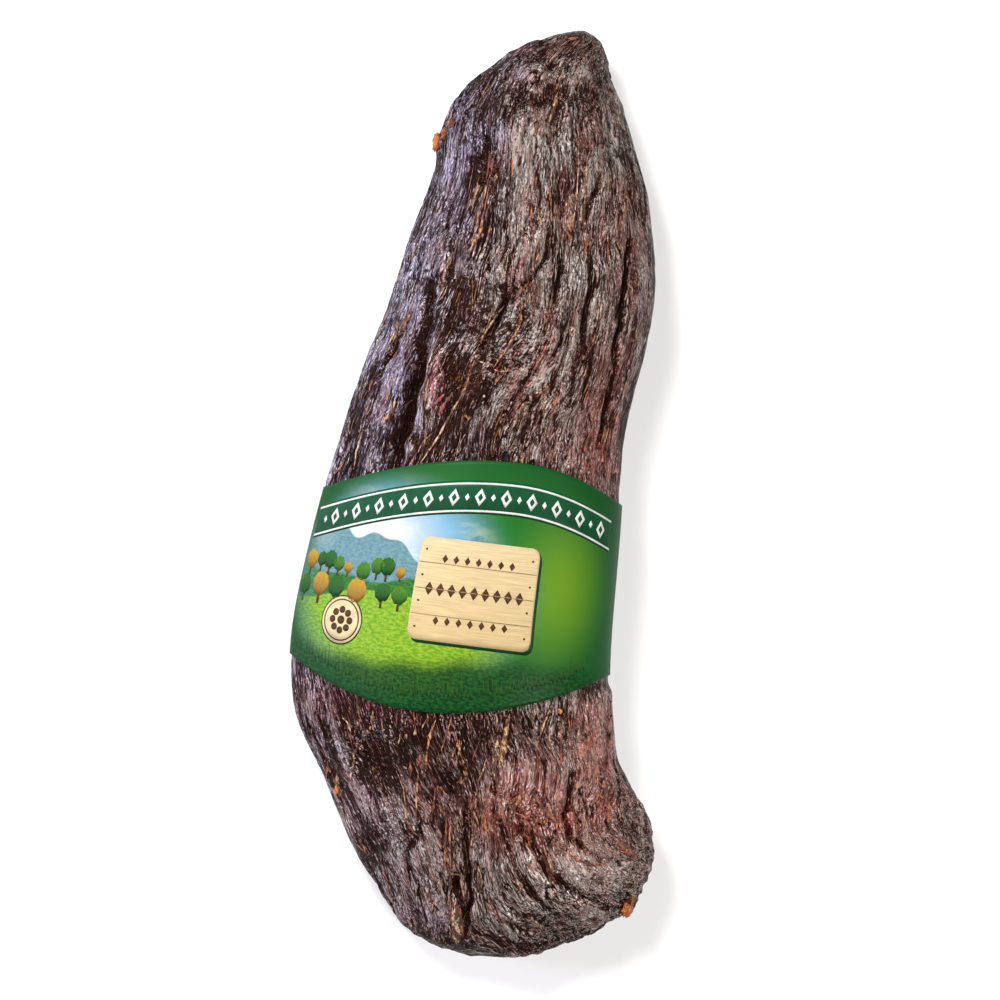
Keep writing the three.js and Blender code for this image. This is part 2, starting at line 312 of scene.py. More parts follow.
def edges_at(y, samples):
    """x of the left and the right edge at y, read off the edges at samples of the rib number."""
    s = np.linspace(0, LAST_RIB, samples)
    return np.interp(y, left_y(s), left_x(s)), np.interp(y, right_y(s), right_x(s))


def arch(u, shape):
    """(1 - |u|^power)^(1 / root)"""
    return np.maximum(0, 1 - np.abs(u) ** shape.power) ** (1 / shape.root)


def skin(s, a):
    """The smooth skin at rib number s and angle a.

    With u = -cos(a), a point lies the share (u + 1) / 2 of the way from the left edge to the
    right edge. From 0 to pi its height is the side's plus the arch to the crest, and from pi to
    2 pi it is the side's less the arch to the keel. The roll raises the right edge."""
    s, a = np.broadcast_arrays(np.asarray(s, float), np.asarray(a, float))
    u = -np.cos(a)
    across = (u + 1) / 2
    side = rib_curve([rib.side for rib in RIBS], s)
    crest = rib_curve([rib.crest for rib in RIBS], s)
    keel = rib_curve([rib.keel for rib in RIBS], s)
    lx, rx = left_x(s), right_x(s)
    roll = ROLL * (across - 0.5) * (rx - lx)
    over = (crest - side) * np.where(u < 0, arch(u, LEFT_ARCH), arch(u, RIGHT_ARCH))
    flat = arch(u, KEEL_ARCH)
    under = (keel - side - roll) * flat
    z = side + roll + np.where(np.mod(a, 2 * math.pi) <= math.pi, over, under)
    return np.stack([mixed(lx, rx, across), mixed(left_y(s), right_y(s), across), z], axis=-1)


def skin_normal(s, a):
    """The outward normal of the skin: the cross product of short steps round it and along it."""
    step = 1e-3
    along = skin(np.minimum(s + step, LAST_RIB), a) - skin(np.maximum(s - step, 0), a)
    around = skin(s, np.mod(a + step, 2 * math.pi)) - skin(s, np.mod(a - step, 2 * math.pi))
    normal = np.cross(around, along)
    return normal / np.maximum(np.linalg.norm(normal, axis=-1, keepdims=True), 1e-12)


def lattice(ix, iy, iz, seed):
    """A number from 0 to 1 for each whole place of a lattice, by mixing the bits of its place."""
    mix = ix.astype(np.uint32) * np.uint32(374761393) + iy.astype(np.uint32) * np.uint32(668265263)
    mix = mix + iz.astype(np.uint32) * np.uint32(2246822519) + np.uint32(seed * 40503 + 977)
    mix = (mix ^ (mix >> np.uint32(13))) * np.uint32(1274126177)
    mix = (mix ^ (mix >> np.uint32(16))) * np.uint32(2654435761)
    return (mix ^ (mix >> np.uint32(15))).astype(float) / 2**32


def noise(x, y, z, seed):
    """Gradient noise from about -1 to 1: random slopes at whole places, blended smoothly."""
    x, y, z = np.broadcast_arrays(x, y, z)
    ix, iy, iz = (np.floor(c).astype(np.int64) for c in (x, y, z))
    fx, fy, fz = x - ix, y - iy, z - iz
    wx, wy, wz = (f**3 * (f * (f * 6 - 15) + 10) for f in (fx, fy, fz))
    total = np.zeros_like(fx)
    for dx in (0, 1):
        for dy in (0, 1):
            for dz in (0, 1):
                place = (ix + dx, iy + dy, iz + dz)
                turn = 2 * math.pi * lattice(*place, seed)
                rise = 2 * lattice(*place, seed + 101) - 1
                flat = np.sqrt(1 - rise**2)
                slope = (fx - dx) * flat * np.cos(turn) + (fy - dy) * flat * np.sin(turn) + (fz - dz) * rise
                weight = (wx if dx else 1 - wx) * (wy if dy else 1 - wy) * (wz if dz else 1 - wz)
                total += weight * slope
    return total * 1.6


def sums_so_far(steps):
    """0, and the sum up to and with each step."""
    return np.concatenate([[0], np.cumsum(steps)])


def nearest_on_path(x, y, path):
    """Distance in plan from (x, y) to a polyline, and how far along it, from 0 to 1, its nearest
    place lies."""
    lengths = np.hypot(*np.diff(np.array(path, float), axis=0).T)
    before = sums_so_far(lengths)
    least, where = np.full(np.shape(x), np.inf), np.zeros(np.shape(x))
    for k, ((x0, y0), (x1, y1)) in enumerate(zip(path, path[1:])):
        dx, dy = x1 - x0, y1 - y0
        share = np.clip(((x - x0) * dx + (y - y0) * dy) / (dx * dx + dy * dy), 0, 1)
        away = np.hypot(x - x0 - share * dx, y - y0 - share * dy)
        where = np.where(away < least, (before[k] + share * lengths[k]) / before[-1], where)
        least = np.minimum(least, away)
    return least, where


def patch_bells(x, y, group):
    """The bell round each patch's middle, times its strength."""
    for patch in group:
        away = np.hypot((x - patch.at[0]) / patch.reach[0], (y - patch.at[1]) / patch.reach[1])
        yield patch.strength * bell(away, 1)


def patch_sum(x, y, group):
    """The bells of the patches, added up."""
    total = np.zeros_like(x)
    for share in patch_bells(x, y, group):
        total = total + share
    return total


def patch_share(x, y, group):
    """The largest of the bells of the patches, at least 0."""
    largest = np.zeros_like(x)
    for share in patch_bells(x, y, group):
        largest = np.maximum(largest, share)
    return largest


def fibre_places(p):
    """Places along the fibres: across them, along them, and height, in millimetres.

    Over most of the meat the fibres follow its outline, so the first number is the share of the
    way from edge to edge. In the broad end, right of the middle, they run in arcs round the lobe,
    and it is the distance from the arcs' centre. In the wrinkled patch they slant."""
    x, y, z = p[..., 0], p[..., 1], p[..., 2]
    left, right = edges_at(y, 400)
    half = np.sqrt(((right - left) / 2) ** 2 + 38**2) * 0.88
    across = (x - (left + right) / 2) * STRAIGHT_HALF_WIDTH / half
    across = across - 0.26 * (y - 50) * bell((x + 2) / 30, 1) * bell((y - 50) / 44, 1)
    along = y
    dx, dy = x - SWIRL_AT[0], np.minimum(y - SWIRL_AT[1], 0)
    swirl_across = SWIRL_AT[0] - np.hypot(dx, dy)
    swirl_along = SWIRL_AT[1] - SWIRL_TURN * np.arctan2(-dy, -dx)
    share = smooth(-6, 26, x) * smooth(-104, -136, y)
    return mixed(across, swirl_across, share), mixed(along, swirl_along, share), z


def undulation(x, y):
    """Broad undulation of the dried surface, as crossed sine waves of three sizes."""
    return (
        1.3 * np.sin(x / 13 + 0.6) * np.sin(y / 31 + 1.1)
        + 0.9 * np.sin(x / 7.5 + y / 40 + 2.0) * np.sin(y / 19 + 0.4)
        + 0.5 * np.sin(x / 4.9 - y / 55) * np.sin(y / 12.5 + 2.2)
    )


def under_sleeve(p):
    """1 under the sleeve, fading to 0 beyond its edges."""
    low, high = sleeve_edge(SLEEVE_BOTTOM, p[..., 0]), sleeve_edge(SLEEVE_TOP, p[..., 0])
    y = p[..., 1]
    return smooth(low - SLEEVE_FADE, low - 0.5, y) * (1 - smooth(high + 0.5, high + SLEEVE_FADE, y))


def sleeve_edge(edge, x):
    """y = peak - bow * (x - middle)^2"""
    bow = np.where(x < edge.middle, edge.left_bow, edge.right_bow)
    return edge.peak - bow * (x - edge.middle) ** 2


def main_forms(p):
    """Swells, ledge and undulation of the upper face, in millimetres."""
    x, y = p[..., 0], p[..., 1]
    height = undulation(x, y)
    for swell in patch_bells(x, y, SWELLS):
        height = height + swell
    inside = smooth(LEDGE_FROM - 4, LEDGE_FROM, x) * (1 - smooth(LEDGE_TO, LEDGE_TO + 12, x))
    ragged = 5.0 * noise(x / 9, y / 40, 0.0, 41) + 2.4 * noise(x / 3.5, y / 12, 0.0, 42)
    beyond = y - LEDGE_Y - LEDGE_SLOPE * (x - LEDGE_FROM) + ragged
    step = smooth(-LEDGE_SOFTNESS, LEDGE_SOFTNESS, beyond) * (1 - smooth(4, 40, beyond))
    step = step * (0.6 + 0.5 * noise(x / 8, y / 20, 0.0, 43))
    return height + LEDGE_HEIGHT * step * inside


def furrow_depth(p):
    """Depth of the named furrows, in millimetres: bells across their paths that taper at the ends."""
    x, y = p[..., 0], p[..., 1]
    wave = 0.8 * np.sin(y / 3.7 + x / 5) + 0.5 * np.sin(y / 1.9)
    depth = np.zeros_like(x)
    for furrow in FURROWS:
        away, _ = nearest_on_path(x + wave * min(1, furrow.half_width / 3), y, furrow.path)
        _, place = nearest_on_path(x, y, furrow.path)
        taper = 0.35 + 0.65 * np.sin(math.pi * np.clip(place, 0.02, 0.98)) ** 0.5
        depth = depth + furrow.depth * taper * bell(away, furrow.half_width)
    return depth


def texture_forms(p, settings):
    """Bundles, wrinkles and fibres, in millimetres, and the cracks as shares of 1.

    Each layer is |noise| in fibre places, stretched along the fibres: its zero lines are thin
    valleys between round bundles. The cracks are bells round the zero lines of long noise."""
    across, along, z = fibre_places(p)
    x, y = p[..., 0], p[..., 1]
    across = (
        across + 2.2 * noise(across / 17, along / 44, z / 17, 1)
        + 0.6 * noise(across / 6, along / 17, z / 6, 12)
    )
    along = along + 3.0 * noise(across / 9, along / 18, z / 9, 13)

    def ridges(size, seed):
        """|noise| * 2"""
        wide, long = size
        return np.abs(noise(across / wide, along / long, z / wide, seed)) * 2

    flank = smooth(-26, -44, x + 0.17 * (y - 90)) * smooth(20, 60, y)
    cheek, crumpled = patch_share(x, y, CHEEK), patch_share(x, y, CRUMPLED_FORMS)
    knotted = patch_share(x, y, KNOTTED_TIP)
    arcs = smooth(-2, 22, x) * smooth(-132, -150, y)
    right_side = smooth(8, 26, x) * smooth(-20, 20, y)
    calm = 1 - 0.5 * np.maximum(np.maximum(flank, cheek), 0.8 * right_side)

    height = settings.bundle_height * (ridges(BUNDLE, 2) - 0.55) * calm
    height = height + settings.wrinkle_height * (ridges(WRINKLE, 3) - 0.55) * calm
    height = height + settings.fibre_height * (ridges(FIBRE, 4) - 0.55)
    height = height + (0.08 + 1.0 * crumpled) * (np.abs(noise(x / 4.6, y / 4.0, z / 4.6, 6)) * 2 - 0.5)
    height = height + 0.5 * noise(across / 8, along / 22, z / 8, 7)
    height = height + 1.9 * knotted * noise(x / 6.5, y / 5.5, z / 6.5, 9)
    height = height + 0.55 * flank * np.abs(noise(x / 9 + y / 16, y / 4.2 - x / 9, z / 9, 14))
    height = height + 1.0 * arcs * (ridges(ARC_FIBRE, 8) - 0.5)

    crack_line = noise(across / 5.2, along / 52, z / 5.2, 10)
    crack_where = smooth(0.10, 0.36, noise(across / 14, along / 26, z / 14, 11))
    cracks = bell(crack_line, 0.08) * crack_where * calm * (1 - 0.8 * arcs) * (1 - 0.7 * crumpled)
    return height - CRACK_DEPTH * cracks, cracks


def meat_surface(s, a, settings):
    """The real surface at rib number s and angle a, its normal, and the depth of its furrows and cracks,
    which the colour darkens as painted shade.
    """
    p, normal = skin(s, a), skin_normal(s, a)
    facing = smooth(-0.35, 0.35, normal[..., 2])
    forms, furrows = main_forms(p), furrow_depth(p)
    texture, cracks = texture_forms(p, settings)
    upper = forms - furrows + texture
    mirrored = undulation(-p[..., 0] + 20, p[..., 1] + 37)
    lower = 0.6 * mirrored + 0.6 * texture
    for at, reach, height in PADS:
        lower = lower + height * bell(np.hypot(p[..., 0] - at[0], p[..., 1] - at[1]), reach)
    relief = mixed(lower, upper, facing)
    covered = under_sleeve(p)
    relief = mixed(relief, np.minimum(relief, 0) * 0.4 - SLEEVE_INSET, covered)
    ends = np.minimum(smooth(0, 0.8, s), smooth(LAST_RIB, LAST_RIB - 1.6, s))
    relief = relief * (0.15 + 0.85 * ends)
    for at, reach, height in NUBS:
        relief = relief + height * bell(np.linalg.norm(p - np.array(at, float), axis=-1), reach)
    place = p + normal * relief[..., None]
    place[..., 2] = np.maximum(place[..., 2], 0)
    return place, normal, furrows * facing + 2 * cracks


def row_places(count, crowding=4, covered_share=0.3):
    """Rib numbers of the rows, even in the length that the edges travel, closer at the ends and
    wider apart under the sleeve."""
    s = np.linspace(0, LAST_RIB, 40 * LAST_RIB + 1)
    left = np.hypot(np.diff(left_x(s)), np.diff(left_y(s)))
    right = np.hypot(np.diff(right_x(s)), np.diff(right_y(s)))
    y = (left_y(s)[1:] + left_y(s)[:-1]) / 2
    covered = smooth(SLEEVE_BOTTOM.peak + 26, SLEEVE_BOTTOM.peak + 34, y) * smooth(-12, -20, y)
    step = ((left + right) / 2 + crowding * np.diff(s)) * (1 - (1 - covered_share) * covered)
    travelled = sums_so_far(step)
    return np.interp(np.arange(1, count) / count * travelled[-1], travelled, s)


def column_angles(top, keel, crowding=0.35):
    """Angles of the columns, drawn together a little at the crest and the keel."""

    def turn(count):
        """Half a turn in uneven steps."""
        share = np.arange(count) / count
        return math.pi * (share + crowding * np.sin(2 * math.pi * share) / (2 * math.pi))

    return np.concatenate([turn(top), math.pi + turn(keel)])


def tube_faces(rings, around):
    """Quads between rings of points that close round, with faces outwards."""
    ring, column = np.meshgrid(np.arange(rings - 1), np.arange(around), indexing="ij")
    here, there = ring * around + column, ring * around + (column + 1) % around
    return np.stack([here, there, there + around, here + around], axis=-1).reshape(-1, 4)


def closed_skin(rings, first, last):
    """A closed surface from rings (rows, columns, 3) and the end points before and after them."""
    rows, around = rings.shape[:2]
    points = np.concatenate([[first], rings.reshape(-1, 3), [last]])
    quads = tube_faces(rows, around) + 1
    column = np.arange(around)
    start = np.stack([np.zeros_like(column), 1 + (column + 1) % around, 1 + column], axis=-1)
    top = 1 + (rows - 1) * around
    after = np.full_like(column, len(points) - 1)
    end = np.stack([after, top + column, top + (column + 1) % around], axis=-1)
    return points, [quads, start, end]


def new_mesh(name, points, faces, attributes=None, upper=None):
    """A mesh object at the origin from points in millimetres, arrays of faces of one size each,
    and point attributes, each an array of numbers or of vectors. Where upper tells a slab's upper
    points from its lower ones, the faces between the two are shaded flat."""
    mesh = bpy.data.meshes.new(name)
    loops = np.concatenate([part.ravel() for part in faces])
    sizes = np.concatenate([np.full(len(part), part.shape[1]) for part in faces])
    mesh.vertices.add(len(points))
    mesh.vertices.foreach_set("co", (points * METRES).astype(np.float32).ravel())
    mesh.loops.add(len(loops))
    mesh.loops.foreach_set("vertex_index", loops.astype(np.int32))
    mesh.polygons.add(len(sizes))
    mesh.polygons.foreach_set("loop_start", (np.cumsum(sizes) - sizes).astype(np.int32))
    flat = np.zeros(len(sizes), dtype=bool)
    if upper is not None:
        flat = np.concatenate([upper[part].any(axis=1) & ~upper[part].all(axis=1) for part in faces])
    mesh.polygons.foreach_set("use_smooth", ~flat)
    mesh.update(calc_edges=True)
    for key, values in (attributes or {}).items():
        if values.ndim == 1:
            layer = mesh.attributes.new(key, "FLOAT", "POINT")
            layer.data.foreach_set("value", values.astype(np.float32))
        else:
            layer = mesh.attributes.new(key, "FLOAT_VECTOR", "POINT")
            layer.data.foreach_set("vector", values.astype(np.float32).ravel())
    mesh.validate()
    piece = bpy.data.objects.new(name, mesh)
    bpy.context.scene.collection.objects.link(piece)
    return piece


def blurred(grid, rows, columns):
    """Box blur of a grid whose columns close round."""
    padded = np.pad(grid, ((rows, rows), (0, 0)), mode="edge")
    padded = np.pad(padded, ((0, 0), (columns, columns)), mode="wrap")
    for axis, reach in ((0, rows), (1, columns)):
        total = np.cumsum(np.insert(padded, 0, 0, axis=axis), axis=axis)
        size = 2 * reach + 1
        upper = np.take(total, np.arange(size, total.shape[axis]), axis=axis)
        lower = np.take(total, np.arange(0, total.shape[axis] - size), axis=axis)
        padded = (upper - lower) / size
    return padded


# Patches of colour on the upper face: pale, partly dry crust and partly painted sheen where ridges and
# swells face the light.
PALE_PATCHES = patches(
    (-10, 154, 9, 20, 0.9), (-15, 96, 9, 7, 0.6), (1, 104, 6, 9, 0.9), (21, 142, 11, 18, 0.5),
    (12, 188, 6, 5, 0.6), (-13, 186, 6, 5, 0.5), (6, 62, 9, 13, 0.7), (15, 38, 8, 16, 0.9),
    (24, 108, 5, 14, 0.4), (-27, -150, 8, 6, 0.8), (-20, -170, 10, 9, 0.7), (45, -158, 12, 6, 0.8),
    (64, -168, 14, 6, 0.8), (22, -186, 12, 8, 0.6), (40, -178, 14, 7, 0.6), (-42, 122, 5, 22, 0.4),
    (28, 76, 6, 14, 0.3), (30, -142, 18, 10, 0.6), (-2, 143, 9, 14, 1.2), (14, 100, 8, 11, 0.9),
    (60, -158, 18, 11, 1.3), (76, -160, 10, 12, 0.8), (46, -130, 22, 16, 1.0), (58, -112, 12, 18, 1.1),
    (26, -162, 12, 10, 0.6), (10, -158, 8, 12, 0.6), (-4, 124, 8, 10, 0.4), (-72, 66, 10, 14, 0.4),
    (2, 52, 8, 8, 0.4), (60, -184, 18, 10, 0.8), (28, 178, 8, 8, 0.4),
)
# Dark: painted shade in the hollows, in the cleft and below the ledge, and darker where the crust is thick.
DARK_PATCHES = patches(
    (-43, 84, 5, 8, 0.9), (-46, 24, 3.5, 32, 0.9), (-25, 50, 7, 9, 0.9), (-31, 74, 9, 10, 0.5),
    (-7, 176, 9, 3, 0.4), (-14, 14, 14, 10, 0.4), (-62, 26, 5, 24, 0.5), (42, 92, 3, 28, 0.5),
    (-52, -112, 20, 14, 0.6), (-42, -128, 14, 9, 0.6), (4, -112, 12, 14, 0.4), (7, -188, 2.5, 18, 0.6),
    (10, -205, 30, 7, 0.6), (-56, -150, 6, 16, 0.4), (50, -136, 4, 12, 0.5), (6, 204, 24, 6, 0.4),
    (-22, 152, 3, 22, 0.5), (34, 50, 5, 16, 0.3), (-26, 184, 14, 9, 0.8), (-34, 84, 12, 12, 0.8),
    (-16, 44, 8, 11, 1.0), (-32, 32, 8, 14, 0.5), (-10, 24, 12, 8, 0.5), (-34, -112, 24, 11, 1.0),
    (-30, 104, 8, 8, 0.4), (-20, -136, 12, 14, 0.4), (-6, -112, 16, 10, 0.5), (-84, -120, 14, 16, 1.0),
    (-36, -180, 10, 8, 0.5), (-36, 120, 8, 8, 0.3), (-6, 92, 11, 8, 0.7), (-20, 118, 8, 10, 0.3),
    (-14, 172, 30, 11, 0.55), (8, 134, 9, 10, 0.45), (22, 178, 14, 10, 0.4), (-40, 162, 9, 10, 0.7),
    (-26, 136, 9, 14, 1.2), (-33, 46, 5, 12, 0.35), (-24, 114, 7, 12, 0.3), (-48, 132, 6, 10, 0.4),
    (-34, 74, 10, 13, 1.05), (-22, 76, 9, 11, 0.8), (-24, 34, 9, 11, 1.3), (-52, 14, 10, 9, 0.8),
    (-30, 14, 12, 9, 0.7), (-70, 18, 9, 18, 0.8), (-6, 14, 9, 9, 0.7), (-8, 56, 8, 8, 0.35),
    (-36, -124, 15, 12, 1.4), (-12, -128, 14, 9, 0.7), (-70, -142, 9, 13, 1.0), (-36, -168, 7, 9, 0.6),
    (-40, -166, 9, 12, 1.2), (58, -204, 12, 7, 0.8), (-30, 196, 12, 8, 0.5),
)
# Red, where the flesh shows.
RED_PATCHES = patches(
    (-31, 46, 5, 12, 1.0), (-27, 30, 5, 10, 0.6), (24, -136, 20, 15, 1.4), (60, -122, 9, 22, 0.75),
    (-20, -136, 3, 14, 0.8), (-21, 140, 3, 9, 0.9), (-11, 186, 7, 6, 0.6), (-1, 192, 4, 4, 0.5),
    (47, 60, 5, 50, 0.6), (40, 28, 10, 22, 0.5), (4, 118, 6, 14, 0.3), (-62, 22, 5, 16, 0.5),
    (8, 32, 9, 12, 0.4), (16, -104, 30, 10, 0.35), (38, 134, 7, 12, 0.4), (66, -154, 9, 5, 0.6),
    (-36, 8, 6, 10, 0.4), (14, -150, 16, 8, 0.3), (14, 76, 5, 16, 0.45), (-8, -192, 14, 8, 0.3),
    (-12.5, -142, 3, 14, 0.9), (-34, 46, 5, 13, 1.5), (-4, 95, 5, 5, 0.8), (12, 78, 4, 6, 0.9),
    (48, 28, 17, 30, 1.2), (36, -136, 26, 20, 1.3), (62, -134, 12, 20, 0.9), (60, -106, 16, 24, 1.3),
    (76, -150, 8, 8, 0.6), (-36, -100, 32, 10, 0.9), (-62, -103, 24, 13, 0.7), (-82, -122, 12, 14, 0.4),
    (34, -142, 32, 18, 1.5), (-14, 198, 16, 5, 0.5), (-30, 176, 8, 8, 0.4), (47, 40, 8, 30, 0.5),
    (72, -128, 10, 12, 0.6), (-66, 20, 12, 26, 0.25), (44, 112, 7, 26, 0.4), (30, 20, 18, 16, 0.5),
    (-56, -148, 24, 18, 0.45), (0, -170, 14, 14, 0.4), (52, 130, 9, 40, 0.45), (40, 60, 16, 30, 0.35),
    (-20, -190, 30, 12, 0.35), (-40, 116, 10, 24, 0.25), (-12, 182, 22, 10, 0.35), (84, -150, 8, 24, 0.4),
)
# Violet, beside the flank and in the creases; on the flank it is partly painted cool light from the left.
VIOLET_PATCHES = patches(
    (-42, 140, 8, 28, 0.5), (-22, 118, 5, 12, 0.5), (-27, 170, 4, 12, 0.8), (-20, 160, 3, 8, 0.7),
    (-13, 185, 4, 6, 0.8), (-60, 66, 12, 34, 1.2), (-70, 20, 10, 42, 1.0), (-42, 44, 2.5, 14, 0.5),
    (-38, 16, 8, 12, 0.6), (-21, 16, 6, 8, 0.5), (-66, -134, 5, 18, 0.35), (-50, -168, 5, 16, 0.3),
    (-14, -194, 16, 8, 0.6), (8, -126, 8, 10, 0.25), (-8, -130, 6, 22, 0.25), (-78, -108, 8, 14, 0.6),
)
# Crumpled across the fibres.
CRUMPLED_PATCHES = patches(
    (-4, 64, 22, 28, 1.0), (-44, -124, 18, 16, 1.0), (2, 184, 24, 15, 0.7), (-28, -152, 14, 12, 0.5),
    (-6, 100, 16, 8, 0.6),
)
# With a lace of tan threads.
LACE_PATCHES = patches(
    (22, -138, 13, 9, 1.0), (40, -140, 10, 6, 0.8), (3, 88, 8, 6, 0.6), (-22, 136, 4, 10, 0.9),
    (-22, 48, 7, 6, 0.7), (-38, 22, 5, 8, 0.6), (52, -152, 12, 5, 0.7), (-32, 92, 8, 6, 0.4),
    (4, 202, 12, 4, 0.6), (-53, 66, 4, 8, 0.9), (45, 24, 6, 14, 0.5),
)
# Glossy with fat.
GLOSSY_PATCHES = patches(
    (-28, -156, 20, 24, 1.0), (44, -168, 36, 20, 1.0), (-50, 120, 12, 60, 0.9), (-64, 40, 12, 50, 0.9),
    (-48, -124, 20, 16, 0.8), (20, -135, 20, 14, 0.6), (-10, 186, 14, 10, 0.8), (-32, 44, 8, 20, 0.8),
)
# A little lighter or darker than the patches above make them.
LIFTS = patches(
    (-8, 190, 24, 15, -0.17), (-48, 164, 8, 10, 0.70), (-47, 146, 7, 9, -0.30), (-32, 135, 8, 21, 0.25),
    (-16, 145, 8, 11, -0.26), (16, 146, 9, 10, -0.16), (17, 124, 8, 10, 0.16), (-48, 114, 9, 22, -0.20),
    (1, 105, 10, 11, -0.30), (37, 74, 15, 17, -0.14), (49, 86, 8, 9, 0.18), (1, 65, 10, 11, -0.22),
    (-64, 36, 9, 22, -0.22), (-25, 45, 16, 11, -0.14), (4, 25, 14, 11, -0.18), (-54, -97, 24, 10, -0.16),
    (-32, -114, 9, 10, -0.16), (-32, -156, 9, 12, -0.46), (50, -187, 26, 15, -0.19),
    (64, -136, 9, 9, -0.26), (65, -95, 10, 11, 0.52), (-14, -136, 25, 10, 0.21), (48, -136, 9, 10, 0.38),
    (-48, -156, 9, 9, 0.34), (1, -194, 9, 9, 0.42), (80, -156, 8, 9, 0.26), (-33, -138, 9, 9, 0.22),
    (1, 162, 9, 12, 0.16), (31, 146, 9, 10, 0.16), (-15, 104, 8, 9, 0.14), (47, 104, 9, 11, 0.12),
    (16, 205, 10, 7, 0.18), (1, 84, 9, 10, 0.38), (-15, 66, 8, 9, 0.12), (32, 86, 8, 9, -0.12),
    (64, -96, 10, 10, 0.24), (-80, -98, 8, 8, -0.14), (-34, 48, 4, 10, -0.30), (-32, 67, 8, 9, 0.16),
    (32, 46, 9, 9, 0.12), (31, -176, 10, 10, -0.24), (65, -194, 9, 10, -0.18), (64, -174, 9, 9, -0.10),
    (79, -175, 8, 9, -0.14), (48, -115, 9, 9, -0.14), (16, -136, 9, 9, -0.14), (-48, -116, 9, 9, 0.16),
    (-48, -136, 8, 9, -0.16), (-16, 165, 8, 9, -0.13), (47, 165, 8, 9, -0.12),
)


def strand_share(x, y):
    """1 on the named strands, falling to 0 about 2 mm beside them."""
    share = np.zeros_like(x)
    for strand in STRANDS:
        away, _ = nearest_on_path(x, y, strand.path)
        share = np.maximum(share, bell(away, strand.half_width + 0.9))
    return share


def add_node(tree, kind, inputs=None, **settings):
    """A new node with its settings, and its inputs set to values or linked to sockets."""
    node = tree.nodes.new(kind)
    for key, value in settings.items():
        setattr(node, key, value)
    for key, value in (inputs or {}).items():
        if isinstance(value, bpy.types.NodeSocket):
            tree.links.new(value, node.inputs[key])
        else:
            node.inputs[key].default_value = value
    return node


def new_material(name, **surface):
    """A material with only its Principled shader and output; returns it, its tree and shader."""
    material = bpy.data.materials.new(name)
    material.use_nodes = True
    tree = material.node_tree
    tree.nodes.clear()
    shader = add_node(tree, "ShaderNodeBsdfPrincipled")
    for key, value in surface.items():
        shader.inputs[key.replace("_", " ")].default_value = value
    add_node(tree, "ShaderNodeOutputMaterial", {"Surface": shader.outputs["BSDF"]})
    return material, tree, shader


def opaque(color):
    """The colour with an alpha of 1."""
    return (*color[:3], 1.0)


def attribute(tree, key, output="Fac"):
    """The socket of a point attribute."""
    return add_node(tree, "ShaderNodeAttribute", attribute_name=key).outputs[output]


def math_node(tree, operation, a, b=0.0, clamp=False):
    """The result of one step of arithmetic on sockets or numbers."""
    node = add_node(tree, "ShaderNodeMath", {0: a, 1: b}, operation=operation, use_clamp=clamp)
    return node.outputs["Value"]


def times(tree, a, b, clamp=False):
    """a * b"""
    return math_node(tree, "MULTIPLY", a, b, clamp)


def vector_node(tree, operation, *inputs):
    """The result of one step of arithmetic on vectors."""
    node = add_node(tree, "ShaderNodeVectorMath", dict(enumerate(inputs)), operation=operation)
    return node.outputs["Vector"]


def bump_shader(tree, height, distance, normal_input, strength=1.0):
    """Bends a shader's normal as if its surface stood up by height * distance, in metres."""
    bump = add_node(
        tree, "ShaderNodeBump", {"Strength": strength, "Distance": distance, "Height": height}
    )
    tree.links.new(bump.outputs["Normal"], normal_input)


def mix_colors(tree, share, a, b):
    """a where share is 0, b where it is 1."""
    node = add_node(tree, "ShaderNodeMix", data_type="RGBA", clamp_factor=True)
    for key, value in (("Factor", share), ("A", a), ("B", b)):
        sockets = [socket for socket in node.inputs if socket.name == key and socket.enabled]
        if isinstance(value, bpy.types.NodeSocket):
            tree.links.new(value, sockets[-1])
        else:
            sockets[-1].default_value = value
    return [socket for socket in node.outputs if socket.enabled][0]


def stretched_noise(tree, vector, scale, detail=2.0, roughness=0.5, output="Fac"):
    """Noise over a vector multiplied by scale = (x, y, z)."""
    node = add_node(
        tree, "ShaderNodeTexNoise",
        {"Vector": vector_node(tree, "MULTIPLY", vector, scale), "Scale": 1.0, "Detail": detail,
         "Roughness": roughness},
        noise_dimensions="3D",
    )
    return node.outputs[output]


def ramp(tree, share, low, high):
    """0 below low, 1 above high, smooth between."""
    node = add_node(
        tree, "ShaderNodeMapRange",
        {"Value": share, "From Min": low, "From Max": high, "To Min": 0.0, "To Max": 1.0},
        interpolation_type="SMOOTHSTEP",
    )
    return node.outputs["Result"]


def billow(tree, share, reach):
    """|share - 0.5| / reach, at most 1: thin valleys between round ridges."""
    away = math_node(tree, "ABSOLUTE", math_node(tree, "SUBTRACT", share, 0.5))
    return math_node(tree, "DIVIDE", away, reach, clamp=True)


def vein(tree, share, middle, reach):
    """1 where share is at the middle, falling to 0 a reach away from it."""
    away = math_node(tree, "ABSOLUTE", math_node(tree, "SUBTRACT", share, middle))
    return ramp(tree, away, reach, 0.0)


def weighted(tree, parts):
    """The sum of value * weight over pairs of a socket or number and a number."""
    total = times(tree, *parts[0])
    for value, weight in parts[1:]:
        inputs = {0: value, 1: weight, 2: total}
        total = add_node(tree, "ShaderNodeMath", inputs, operation="MULTIPLY_ADD").outputs["Value"]
    return total


def color_steps(tree, share, steps):
    """Colours at places from 0 to 1, blended between them."""
    node = add_node(tree, "ShaderNodeValToRGB", {"Fac": share})
    stops = node.color_ramp.elements
    for stop, (position, color) in zip((stops[0], stops[1]), (steps[0], steps[-1])):
        stop.position, stop.color = position, opaque(color)
    for position, color in steps[1:-1]:
        stops.new(position).color = opaque(color)
    return node.outputs["Color"]


def tinted(color, share):
    """The colour times the share."""
    return [channel * share for channel in color]


